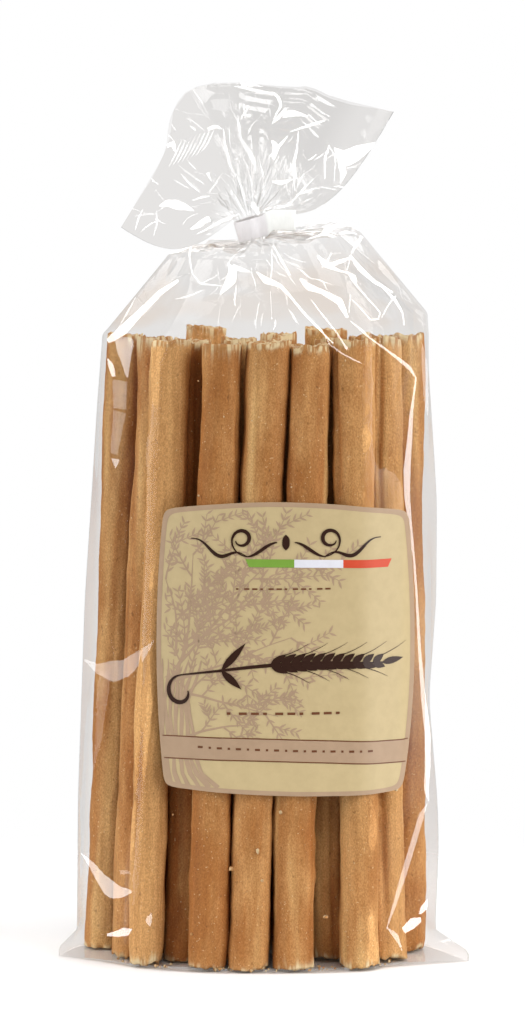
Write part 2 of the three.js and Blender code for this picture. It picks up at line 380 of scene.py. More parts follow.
def crust_material(look):
    """Baked crust: patches and streaks along the stick, sandy grain, pores, flour and crumb, with
    painted shade in its grooves and on sticks that stand in the shade of others.
    """
    shader = Shader("baked_crust")
    place = shader.value("grain", "Vector")
    patches = shader.noise(place, 95, 4, (1, 1, 0.3), 0.6)
    streaks = shader.noise(place, 520, 4, (1, 1, 0.05), 0.6)
    sand = shader.noise(place, 2400, 2, (1, 1, 0.6), 0.6)
    baked = shader.plus(shader.times(patches, 1.3), shader.times(streaks, 0.5))
    # The crust's darkness adds each stick's baking and painted shade: sticks in the shade of
    # others, and grooves, get darker crust
    baked = shader.plus(baked, shader.times(shader.value("bake_and_shade"), 0.42))
    colour = shader.blend(shader.between(baked, 0.6, 1.25), look.crust_light, look.crust_dark)
    pale = shader.between(shader.noise(place, 90, 2, (1, 1, 0.08), 0.5), 0.53, 0.68)
    colour = shader.blend(shader.times(pale, 0.75), colour, look.crust_pale)
    reddish = shader.between(baked, 1.1, 1.6)
    colour = shader.blend(shader.times(reddish, 0.6), colour, look.crust_edge)

    shaded, lit = (0.81, 0.775, 0.74), (1.14, 1.17, 1.2)
    grainy = shader.blend(shader.between(sand, 0.3, 0.7), shaded, lit)
    colour = shader.blend(1.0, colour, grainy, "MULTIPLY")
    shaded, lit = (0.88, 0.85, 0.8), (1.06, 1.08, 1.1)
    lines = shader.blend(shader.between(streaks, 0.38, 0.62), shaded, lit)
    colour = shader.blend(1.0, colour, lines, "MULTIPLY")
    # Pores: small pits with no relief of their own, painted near black as the shade inside them
    pores = shader.between(shader.noise(place, 700, 2, (1, 1, 0.6), 0.5), 0.67, 0.75)
    colour = shader.blend(shader.times(pores, 0.45), colour, look.pores)
    flour = shader.between(shader.noise(place, 1300, 1), 0.7, 0.76)
    colour = shader.blend(shader.times(flour, 0.6), colour, look.flour)

    fibres = shader.noise(place, 640, 2, (1, 1, 0.12), 0.5)
    torn = shader.times(shader.math("SUBTRACT", fibres, 0.5), 0.9)
    torn = shader.between(shader.plus(shader.value("crumb"), torn), 0.15, 1.0)
    crumb = shader.blend(shader.between(fibres, 0.4, 0.58), look.crumb_shade, look.crumb)
    height = shader.plus(shader.times(sand, 0.5), shader.times(streaks, 0.6))
    surface = shader.add(
        "ShaderNodeBsdfPrincipled",
        {
            "Base Color": shader.blend(torn, colour, crumb),
            "Roughness": 0.72,
            "Specular IOR Level": 0.28,
            "Normal": shader.bump(height, 0.6, 0.0004),
        },
    )
    return shader.finish(surface)


def film_material(look):
    """Clear film: it lets most light through, and mirrors more of it the more it turns away.

    Its points say how many fine creases it has, how much more or less it mirrors, how clear it is,
    how much painted reflection of the bread it carries as a warmer tint, and which way a fold
    faces.
    """
    shader = Shader("clear_film")
    place = shader.add("ShaderNodeTexCoord").outputs["Object"]
    normal = shader.add("ShaderNodeNewGeometry").outputs["Normal"]
    inputs = {0: normal, 1: shader.value("faces", "Vector")}
    normal = shader.add("ShaderNodeVectorMath", inputs, operation="ADD").outputs[0]
    normal = shader.add("ShaderNodeVectorMath", {0: normal}, operation="NORMALIZE").outputs[0]
    large = shader.between(shader.edges(place, 62), 0.028, 0.0)
    small = shader.between(shader.edges(place, 150), 0.05, 0.0)
    creases = shader.plus(large, shader.times(small, 0.45))
    crowded = shader.between(shader.noise(place, 48, 1), 0.42, 0.58)
    creases = shader.times(shader.times(creases, shader.value("creased")), crowded)
    ripples = shader.noise(place, 150, 1, None, 0.5)
    normal = shader.bump(ripples, 0.06, 0.0007, shader.bump(creases, 1.0, 0.0002, normal))

    # Patches of warmer tint on the shoulder: a painted reflection of the bread under it
    patches = shader.between(shader.noise(place, 42, 2, (0.6, 1, 1.3), 0.5), 0.46, 0.62)
    bread_reflection = shader.times(shader.value("bread_reflection"), patches)
    tint = shader.blend(bread_reflection, look.tint, look.bread_reflection_tint)
    tint = shader.blend(shader.value("clearer"), tint, (1.0, 1.0, 1.0))
    through = shader.add("ShaderNodeBsdfTransparent", {"Color": tint})
    inputs = {"Color": (1, 1, 1, 1), "Roughness": 0.07, "Normal": normal}
    gloss = shader.add("ShaderNodeBsdfGlossy", inputs)
    weight = shader.add("ShaderNodeLayerWeight", {"Blend": 0.5, "Normal": normal})
    turned = shader.math("POWER", weight.outputs["Facing"], 3.0)
    mirrors = shader.plus(shader.value("mirrors"), shader.times(creases, 0.05))
    mirrored = shader.plus(shader.plus(shader.times(turned, 0.7), look.shine), mirrors)
    inputs = {0: mirrored, 1: through.outputs[0], 2: gloss.outputs[0]}
    return shader.finish(shader.add("ShaderNodeMixShader", inputs))


def paper_material(name, colour, roughness=0.5):
    """Printed paper: one ink, with the faint mottle of the paper under it."""
    shader = Shader(name)
    place = shader.add("ShaderNodeTexCoord").outputs["Object"]
    mottle = shader.between(shader.noise(place, 260, 4, None, 0.6), 0.25, 0.75)
    fibre = shader.noise(place, 2400, 2, (1, 1, 0.5), 0.6)
    shade = shader.blend(mottle, (0.955, 0.95, 0.94), (1.03, 1.03, 1.03))
    fleck = shader.times(shader.between(fibre, 0.55, 0.8), 0.18)
    shade = shader.blend(fleck, shade, (0.84, 0.83, 0.8))
    surface = shader.add(
        "ShaderNodeBsdfPrincipled",
        {
            "Base Color": shader.blend(1.0, colour, shade, "MULTIPLY"),
            "Roughness": roughness,
            "Specular IOR Level": 0.35,
            "Normal": shader.bump(fibre, 0.12, 0.0001),
        },
    )
    return shader.finish(surface)


def band_material(look):
    """White flat band: dull plastic paper with faint marks across it."""
    shader = Shader("white_band")
    place = shader.add("ShaderNodeTexCoord").outputs["Object"]
    marks = shader.noise(place, 900, 3, (1, 1, 0.3), 0.6)
    # The loop is greyer than its tail: painted shade that sets the two apart
    colour = shader.blend(shader.value("tail"), look.band, look.tail)
    marked = shader.between(marks, 0.3, 0.75)
    surface = shader.add(
        "ShaderNodeBsdfPrincipled",
        {
            "Base Color": shader.blend(marked, colour, (0.93, 0.93, 0.93), "MULTIPLY"),
            "Roughness": 0.5,
            "Subsurface Weight": 0.15,
            "Subsurface Radius": (0.002, 0.002, 0.002),
            "Normal": shader.bump(marks, 0.2, 0.0003),
        },
    )
    return shader.finish(surface)


# ---------------------------------------------------------------------------------------------
# Breadsticks
# ---------------------------------------------------------------------------------------------


def place_sticks(thickness):
    """Feet and heads (x, y), the two radii, how dark the crust is by baking and painted shade, and
    the length of every stick.
    """
    rng = np.random.default_rng(11)
    radius = thickness / 2
    known = [(*front, 0.0) for front in FRONT_STICKS] + list(BACK_STICKS)
    feet = [stick[0] for stick in known]
    heads = [stick[1] for stick in known]
    radii = [(radius * stick[2][0], radius * stick[2][1]) for stick in known]
    bakes_and_shades = [stick[3] for stick in known]
    usual = STICK_TOP - STICK_FOOT
    lengths = [usual + rng.uniform(-0.7, 0.7) - stick[4] for stick in known]
    for depth, first, last, count in INNER_ROWS:
        for x in np.linspace(first, last, count):
            y = depth - (1.6 if abs(x) > 40 else 0) + rng.uniform(-0.8, 0.8)
            feet.append((x * 1.06, y))
            heads.append((x * 0.97 + rng.uniform(-1, 1), y * 0.97 + rng.uniform(-0.8, 0.8)))
            radii.append(tuple(radius * rng.uniform(0.9, 0.98, 2)))
            bakes_and_shades.append(rng.uniform(-0.2, 0.6))
            lengths.append(STICK_TOP - rng.uniform(6, 14))
    feet, heads, radii = np.array(feet), np.array(heads), np.array(radii)
    for ends, size, height in ((feet, radii[:, 0], 0), (heads, radii[:, 1], STICK_TOP)):
        creases = read_off(LEFT_CREASE, height), read_off(RIGHT_CREASE, height)
        push_apart(ends, size, len(FRONT_STICKS), len(known), creases)
    return feet, heads, radii, np.array(bakes_and_shades), np.array(lengths)


def push_apart(ends, size, held, known, creases, gap=0.3, rounds=400):
    """Moves the ends of sticks after the first held ones until none overlaps another, in the film.
    Those up to known give way only to the held ones and to one another."""
    side_room = 3  # from a stick to the film's crease
    half_depth = 27.4  # from the middle of the bag to the back of the film
    for _ in range(rounds):
        for i in range(held, len(ends)):
            away = ends[i] - ends
            distance = np.maximum(np.linalg.norm(away, axis=1), 1e-6)
            overlap = np.maximum(0, size + size[i] + gap - distance)
            overlap[i] = 0
            if i < known:
                overlap[known:] = 0
            ends[i] += (away / distance[:, None] * overlap[:, None] * 0.35).sum(0)
            room = side_room + size[i]
            ends[i][0] = np.clip(ends[i][0], creases[0] + room, creases[1] - room)
            bulge = (1 - abs(ends[i][0] / creases[1]) ** 3.2) ** 0.75
            ends[i][1] = min(ends[i][1], half_depth * bulge - 0.8 * size[i])


def stick_side(rng, u, v, turn, radii, from_end):
    """How far a stick's side stands off its middle line, and how much of that is relief, which
    later darkens the crust in its hollows as painted shade.
    """
    radius = mix(radii[0], radii[1], v) * (1 + 0.035 * soft_noise(rng, 1, 7, u, v))
    flare = mix(rng.uniform(-0.7, 0.5), rng.uniform(-0.5, 0.5), v)
    radius = radius + flare * np.exp(-from_end / 5.0)
    oval = 0.025 * np.cos(2 * turn + rng.uniform(0, 6))
    square = 0.03 * np.cos(4 * turn + rng.uniform(-0.4, 0.4))
    lumps = 0.34 * soft_noise(rng, 6, 14, u, v) + 0.16 * soft_noise(rng, 11, 40, u, v)
    stretch = 0.13 * soft_noise(rng, 26, 16, u, v) + 0.06 * soft_noise(rng, 30, 70, u, v)
    side = radius * (1 + oval - square) + lumps + stretch
    relief = lumps + stretch
    for _ in range(rng.integers(2, 5)):
        middle, reach = rng.uniform(0, 1), rng.uniform(0.15, 0.6)
        line = rng.uniform(0, 1) + 0.05 * soft_noise(rng, 1, 5, u, v)
        off = np.abs((u - line + 0.5) % 1 - 0.5)
        strength = smoothstep(np.abs(v - middle), reach, reach * 0.4)
        groove = np.exp(-((off / rng.uniform(0.014, 0.03)) ** 2)) * strength
        lip = np.exp(-(((off - 0.06) / 0.035) ** 2)) * strength
        depth = rng.uniform(0.35, 0.9)
        side = side - depth * groove + 0.3 * depth * lip
        # Grooves count deeper in the relief than in the shape, for stronger painted shade in them
        relief = relief - 1.6 * depth * groove
    return side, relief


def stick_fray(rng, u, v, from_end):
    """How torn a stick is at each point, from 0 to 1, and how far its loose fibres stand out."""
    tear = mix(rng.uniform(0.1, 0.7), rng.uniform(0.1, 0.9) ** 2, v)
    reach = mix(1.2, 1.6, v) + 6 * tear * (0.6 + 0.4 * soft_noise(rng, 9, 1, u, 0 * v))
    fray = np.exp(-((from_end / reach) ** 1.6))
    fibres = soft_noise(rng, 15, 1, u, v) * 0.7
    fibres = fibres + soft_noise(rng, u.shape[1] // 2, 3, u, v) * 0.7
    return fray, 0.9 * fray * np.minimum(0.12, fibres)


def stick_ends(rng, u, v, rim, turn):
    """How much a stick's torn ends add to its height: jagged at the rim and pitted inside it."""
    jagged = 0.5 * soft_noise(rng, 7, 1, u, 0 * v) + 0.7 * soft_noise(rng, 26, 1, u, 0 * v)
    jagged = jagged + 0.3 * np.cos(turn + rng.uniform(0, 6))
    top, foot = jagged - rng.uniform(0.5, 1.1) * np.sin(turn), -1.1 * jagged - 0.3
    pits = soft_noise(rng, 12, 9, u, 1 - rim) * 0.55 - 0.3 * (1 - rim**2)
    pits = pits + 0.35 * soft_noise(rng, 22, 16, u, 1 - rim)
    upward = np.where(v > 0.5, 1.0, -1.0)
    return upward * (np.where(v > 0.5, top, foot) * rim**2 + np.where(rim < 1, pits, 0))


def stick_mesh(rng, foot, head, radii, length, fine):
    """Points, faces and point values of one hand-stretched stick with torn ends."""
    around_steps, along_steps = (60, 210) if fine else (36, 90)
    caps = (0.97, 0.88, 0.72, 0.5, 0.25, 0.04)
    # u is the share of a turn, v the share of the length, and rim the share of the radius
    v = np.concatenate([np.zeros(len(caps)), np.linspace(0, 1, along_steps), np.ones(len(caps))])
    rim = np.concatenate([caps[::-1], np.ones(along_steps), caps])
    u, v = np.meshgrid(np.arange(around_steps) / around_steps, v)
    rim = np.broadcast_to(rim[:, None], u.shape)
    from_end = np.minimum(v, 1 - v) * length
    turn = 2 * math.pi * (u + 0.04 * rng.uniform(-1, 1) * v)

    side, relief = stick_side(rng, u, v, turn, radii, from_end)
    fray, fibres = stick_fray(rng, u, v, from_end)
    side = side + fibres
    if fine:
        side = side + 0.045 * soft_noise(rng, 58, 190, u, v)
    height = v * length + stick_ends(rng, u, v, rim, turn) * smoothstep(from_end, 7, 0)
    height = np.maximum(height, 0)

    across, ahead = side * rim * np.cos(turn), side * rim * np.sin(turn)
    x, y = mix(foot[0], head[0], v) + across, mix(foot[1], head[1], v) + ahead
    bow, sway = np.sin(math.pi * v), np.sin(2 * math.pi * v)
    bend = rng.uniform(-0.55, 0.55, 4)
    x = x + bend[0] * bow + bend[1] * sway
    y = y + bend[2] * bow * 0.6 + bend[3] * sway * 0.6
    points = np.stack([x, y, height + STICK_FOOT], -1)
    rows = len(points)
    faces = grid_faces(rows, around_steps, wraps=True)
    faces.append(list(range(around_steps))[::-1])
    faces.append(list(range((rows - 1) * around_steps, rows * around_steps)))

    grain = np.stack([across, ahead, height], -1) * MM + rng.uniform(-2, 2, 3)
    stripes = soft_noise(rng, 22, 1, u, v)
    torn = mix(0.4, 1.0, v) + 0.6 * stripes + 0.4 * soft_noise(rng, 3, 1, u, v)
    pale_rim = np.exp(-((from_end / 1.1) ** 2)) * mix(0.35, 0.9, v)
    torn = fray * np.clip(torn, 0.15, 1) + pale_rim
    crumb = np.where(rim < 1, 0.5 + 0.25 * (rim < 0.9), torn)
    values = {"grain": grain.reshape(-1, 3), "crumb": crumb.ravel(), "relief": relief.ravel()}
    return points.reshape(-1, 3), faces, values


# ---------------------------------------------------------------------------------------------
# Film
# ---------------------------------------------------------------------------------------------

# Places round a ring of film: shares of the whole turn from the left crease, shares of the way
# from the left crease to the right one, first for half a ring and then for all of it, and which
# places are in front
RING_TURN = np.arange(2 * HALF_ROUND) / (2 * HALF_ROUND)
HALF_SHARE = np.arange(HALF_ROUND + 1) / HALF_ROUND
RING_SHARE = round_trip(HALF_SHARE, HALF_SHARE)
IN_FRONT = np.arange(2 * HALF_ROUND) <= HALF_ROUND


def hull_sides(points):
    """The front and back of the tightest outline round points, each from left to right."""
    order = points[np.lexsort((points[:, 1], points[:, 0]))]
    sides = []
    for turn in (1, -1):
        chain = []
        for point in order:
            while len(chain) > 1:
                (ax, ay), (bx, by) = chain[-2], chain[-1]
                if turn * ((bx - ax) * (point[1] - ay) - (by - ay) * (point[0] - ax)) > 0:
                    break
                chain.pop()
            chain.append(point)
        sides.append(np.array(chain))
    return sides


def film_outline(sticks, height):
    """The front and back of the film at a height, each as evenly spaced points from the left."""
    feet, heads, radii = sticks[:3]
    share = np.clip(height / STICK_TOP, 0, 1)
    centres, sizes = mix(feet, heads, share), mix(radii[:, 0], radii[:, 1], share) + STICK_SPREAD
    turn = np.radians((-136, -102, -68, -34, 0, 34, 68, 102, 136, 180))
    ring = np.stack([np.sin(turn), -np.cos(turn)], -1)
    around = (centres[:, None, :] + sizes[:, None, None] * ring).reshape(-1, 2)
    creases = [(read_off(line, height), CREASE_DEPTH) for line in (LEFT_CREASE, RIGHT_CREASE)]
    off_centre = abs(height - LABEL_CENTRE[2])
    stiff = smoothstep(off_centre, LABEL_HALF[2] + HELD_PAST, LABEL_HALF[2])
    held = [(x, mix(LOOSE_DEPTH, y, stiff)) for x, y in HELD_EDGES]
    front, back = hull_sides(np.concatenate([around, creases, held]))
    return [soft_corners(along_line(side, HALF_SHARE)) for side in (front, back)]


def soft_corners(line, reach=7):
    """The same evenly spaced line with its corners eased, except near its ends."""
    kernel = np.hanning(2 * reach + 3)[1:-1]
    kernel /= kernel.sum()
    eased = np.stack([np.convolve(line[:, k], kernel, "same") for k in range(2)], -1)
    from_end = np.minimum(np.arange(len(line)), np.arange(len(line))[::-1])
    return mix(line, eased, smoothstep(from_end, reach, 2 * reach)[:, None])


def film_ring(sticks, height):
    """Points round the film at a height: its front from left to right, then its back."""
    front, back = film_outline(sticks, height)
    return np.concatenate([front[:-1], back[:0:-1]])


def film_front(sticks):
    """A function that gives the depth of the film's front at places across and heights."""
    heights = np.linspace(0, STICK_TOP, 60)
    across = np.linspace(-52, 52, 209)
    depths = []
    for height in heights:
        front, _ = film_outline(sticks, height)
        depths.append(np.interp(across, front[:, 0], front[:, 1]))
    depths = np.array(depths)

    def front_depth(x, z):
        column = (np.asarray(x, float) - across[0]) / (across[1] - across[0])
        row = np.asarray(z, float) / (heights[1] - heights[0])
        column = np.clip(column, 0, len(across) - 1.001)
        row = np.clip(row, 0, len(heights) - 1.001)
        i, j = row.astype(int), column.astype(int)
        s, t = row - i, column - j
        low = mix(depths[i, j], depths[i, j + 1], t)
        high = mix(depths[i + 1, j], depths[i + 1, j + 1], t)
        return mix(low, high, s)

    return front_depth


def neck_ring(height):
    """Points of the pleated neck at a height along its leaning axis."""
    pleat = 1 + 0.11 * triangle_wave(17 * RING_TURN) + 0.05 * triangle_wave(31 * RING_TURN + 0.3)
    angle = 2 * math.pi * RING_TURN
    across = -NECK_RADIUS * pleat * np.cos(angle)
    depth = -NECK_RADIUS * pleat * np.sin(angle)
    points = NECK_CENTRE + NECK_AXIS * height + across[..., None] * NECK_ACROSS
    return points + depth[..., None] * np.array([0, 1, 0])


def film_rings(sticks):
    """Smooth rings of film from the floor to the neck, and how far each has closed: 0 up to the
    breadsticks' ends and 1 at the neck."""
    foot_heights = (0.25, 0.7, 1.4, 2.4, 3.8, 5.5, 7.5, 10, 13, 16.5)
    heights = np.concatenate([foot_heights, np.linspace(20, STICK_TOP, 64)])
    rings = np.array([film_ring(sticks, height) for height in heights])
    for _ in range(3):
        rings[1:-1] = 0.25 * rings[:-2] + 0.5 * rings[1:-1] + 0.25 * rings[2:]
    heights = np.broadcast_to(heights[:, None, None], (*rings.shape[:2], 1))
    body = np.concatenate([rings, heights], -1)

    out = np.linspace(1, 0, 92)[1:, None] ** 0.85
    low, high = body[-1], neck_ring(-NECK_REACH)
    leftness = np.cos(2 * math.pi * RING_TURN)
    left, front, right = (read_off(line, out) for line in (LEFT_DROP, FRONT_DROP, RIGHT_DROP))
    side = np.where(leftness > 0, left, right)
    drop = mix(front, side, smoothstep(np.abs(leftness), 0.1, 0.8))
    shoulder = mix(high[None], low[None], out[..., None])
    shoulder[..., 2] = high[:, 2] - (high[:, 2] - low[:, 2]) * drop
    neck = np.array([neck_ring(height) for height in np.linspace(-NECK_REACH, 0, 5)[1:]])
    closing = np.concatenate([np.zeros(len(body)), 1 - out[:, 0], np.ones(len(neck))])
    return np.concatenate([body, shoulder, neck]), closing


def film_push(points, closing, in_shoulder):
    """How far crumpled film stands out of its smooth rings, in millimetres."""
    length = np.where(closing > 0, 0.5 + 0.5 * closing, 0.5 * points[:, 0, 2] / STICK_TOP)
    length = np.maximum.accumulate(length)
    closing = closing[:, None]
    off_middle = np.abs(HALF_SHARE - 0.5)
    pushes = []
    for seed in (1, 2):
        folds = np.random.default_rng(seed)
        broad = crumple(folds, 8, 15, HALF_SHARE, length)
        narrow = crumple(folds, 16, 30, HALF_SHARE, length)
        # The filled bag crumples at its sides, and the shoulder is calmest over its middle
        at_side = smoothstep(off_middle, 0.22, 0.38)
        body_push = (1.5 * broad + 0.12 * narrow) * at_side + 0.4 * broad
        calm = 1 - 0.75 * smoothstep(off_middle, 0.36, 0.2) * smoothstep(closing, 0.62, 0.42)
        top_push = (2.4 * broad + 0.5 * narrow) * calm - 0.9 * smoothstep(off_middle, 0.25, 0.4)
        pushes.append(np.stack([np.maximum(body_push, -0.1), top_push]))
    body_push, top_push = round_trip(*pushes)
    # Nothing moves at the floor or at the side creases, and pleats gather towards the neck
    push = mix(body_push * smoothstep(points[..., 2], 0, 12), top_push, in_shoulder)
    push = push * smoothstep(np.minimum(RING_SHARE, 1 - RING_SHARE), 0, 0.07)
    pleats = triangle_wave(15 * RING_TURN + 0.2) * 0.9 + triangle_wave(37 * RING_TURN + 0.4) * 0.45
    return push + pleats * smoothstep(closing, 0.35, 0.8) * smoothstep(closing, 1, 0.9) * 0.9


def film_body(sticks, look):
    """Rings of crumpled film from the floor to the neck, and how creased each point is."""
    points, closing = film_rings(sticks)
    x, z = points[..., 0], points[..., 2]
    in_shoulder = smoothstep(z, 196, 214) * smoothstep(closing[:, None], 0.98, 0.86)
    loose = np.where(IN_FRONT, off_label(x, z), 1)
    push = film_push(points, closing, in_shoulder) * look.crumple * loose
    points = points + outward(points, wraps=True) * push[..., None]
    at_side = 0.15 * smoothstep(np.abs(RING_SHARE - 0.5), 0.22, 0.38)
    creased = mix(at_side, 0.5 + 0.5 * (closing[:, None] > 0.5), in_shoulder) * loose
    return flare_base(points), creased


def off_label(x, z):
    """0 under the label, where the film lies flat, and 1 away from it."""
    half = LABEL_HALF + 3
    across, up = np.abs(x - LABEL_CENTRE[0]) / half[0], np.abs(z - LABEL_CENTRE[2]) / half[2]
    return smoothstep(np.maximum(across, up), 0.98, 1.06)


def flare_base(points):
    """Draws the foot of the film out to the seam's two corners."""
    low = smoothstep(points[..., 2], 8.0, 2.8)
    left = np.clip(1 - RING_SHARE / 0.2, 0, 1) ** 1.5 * LEFT_EAR
    right_reach = np.where(IN_FRONT, 0.2, 0.14)
    right = np.clip(1 - (1 - RING_SHARE) / right_reach, 0, 1) ** 1.2 * RIGHT_EAR
    points = points.copy()
    points[..., 0] += low * (right - left)
    points[..., 1] -= low * EAR_BEND * (left + right)
    return points


def film_floor(ring):
    """The flat bottom: rows of points between the front and the back of the lowest ring."""
    front = ring[: HALF_ROUND + 1]
    back = np.concatenate([ring[:1], ring[: HALF_ROUND - 1 : -1]])
    steps = np.linspace(0, 1, 9)[1:-1, None, None]
    return mix(front[None], back[None], steps)[:, 1:-1]


def frill_folds(out):
    """How far the film of the frill stands out of its smooth fan, how creased it is, and how much
    more it mirrors, in rows from the neck to the mouth. A flat panel lies at its right."""
    reach = out[:, None]
    pushes = []
    for seed in (21, 22):
        folds = np.random.default_rng(seed)
        broad = crumple(folds, 5, 4, HALF_SHARE, out)
        middle = crumple(folds, 12, 9, HALF_SHARE, out)
        narrow = crumple(folds, 26, 12, HALF_SHARE, out**0.7)
        near = smoothstep(reach, 0.8, 0.3)
        panel = smoothstep(HALF_SHARE, 0.52, 0.62) * smoothstep(reach, 0.5, 0.62)
        push = 3.6 * broad * reach + 1.5 * middle * (1 - 0.9 * panel) + 0.45 * narrow * near
        # Small gathers at the neck, a comb of pleats at the left and ripples on the flat panel
        gathers = triangle_wave(19 * HALF_SHARE + folds.uniform(0, 1))
        push = push + gathers * (1 - reach) ** 2 * 1.3
        comb = smoothstep(np.abs(HALF_SHARE - 0.2), 0.12, 0.06)
        comb = comb * smoothstep(np.abs(reach - 0.66), 0.12, 0.07)
        push = push + 0.5 * comb * triangle_wave(75 * HALF_SHARE + 5 * reach)
        push = push + 0.28 * panel * triangle_wave(15 * reach + 1.5 * HALF_SHARE)
        tip = smoothstep(HALF_SHARE, 0.84, 0.92) * panel
        rolled = smoothstep(HALF_SHARE, 0.48, 0.34)
        mirrors = 0.035 * panel - 0.05 * tip - 0.13 * rolled
        pushes.append(np.stack([push, 1 - 0.9 * panel, mirrors]))
    return round_trip(*pushes)


def film_frill(look):
    """Rings of film from the neck to the open mouth, with how creased each point is and how much
    more it mirrors."""
    out = np.linspace(0, 1, 96) ** 1.15
    push, creased, mirrors = frill_folds(out)
    out, share = out[:, None], RING_SHARE
    mouth = along_line(rounded_line(MOUTH, 1), share)
    dip = smoothstep(share, 0.45, 0.75) * smoothstep(share, 1, 0.85)
    dip = np.where(IN_FRONT, 0.5, 0.0) * dip
    start = neck_ring(NECK_REACH)
    spread = np.sin(math.pi * share)
    droop = 8.5 * smoothstep(share, 0.22, 0) + 13 * smoothstep(share, 0.72, 1)
    x = mix(start[:, 0], mouth[:, 0], out)
    z = mix(start[:, 2], mouth[:, 1] - dip, out) - np.sin(math.pi * out) * droop
    gape = mix(LEFT_GAPE, RIGHT_GAPE, smoothstep(share, 0.22, 0.5))
    opening = np.where(IN_FRONT, -1.0, 1.0) * (gape * out * spread**0.8 + 0.8 * spread)
    sway = 3.6 * out * np.sin(2 * math.pi * 2.2 * share + 0.6) * spread
    y = start[:, 1] * (1 - out) ** 1.5 + opening * smoothstep(out, 0, 0.5) + sway
    fanned = np.stack([x, y, z], -1)
    start = np.broadcast_to(start, fanned.shape)
    points = mix(start, fanned, smoothstep(out, 0, 0.1)[..., None])
    push = push * smoothstep(out, 0, 0.12) * smoothstep(np.minimum(share, 1 - share), 0, 0.06)
    points = points + outward(points, wraps=True) * (push * look.crumple)[..., None]
    return points, creased, mirrors


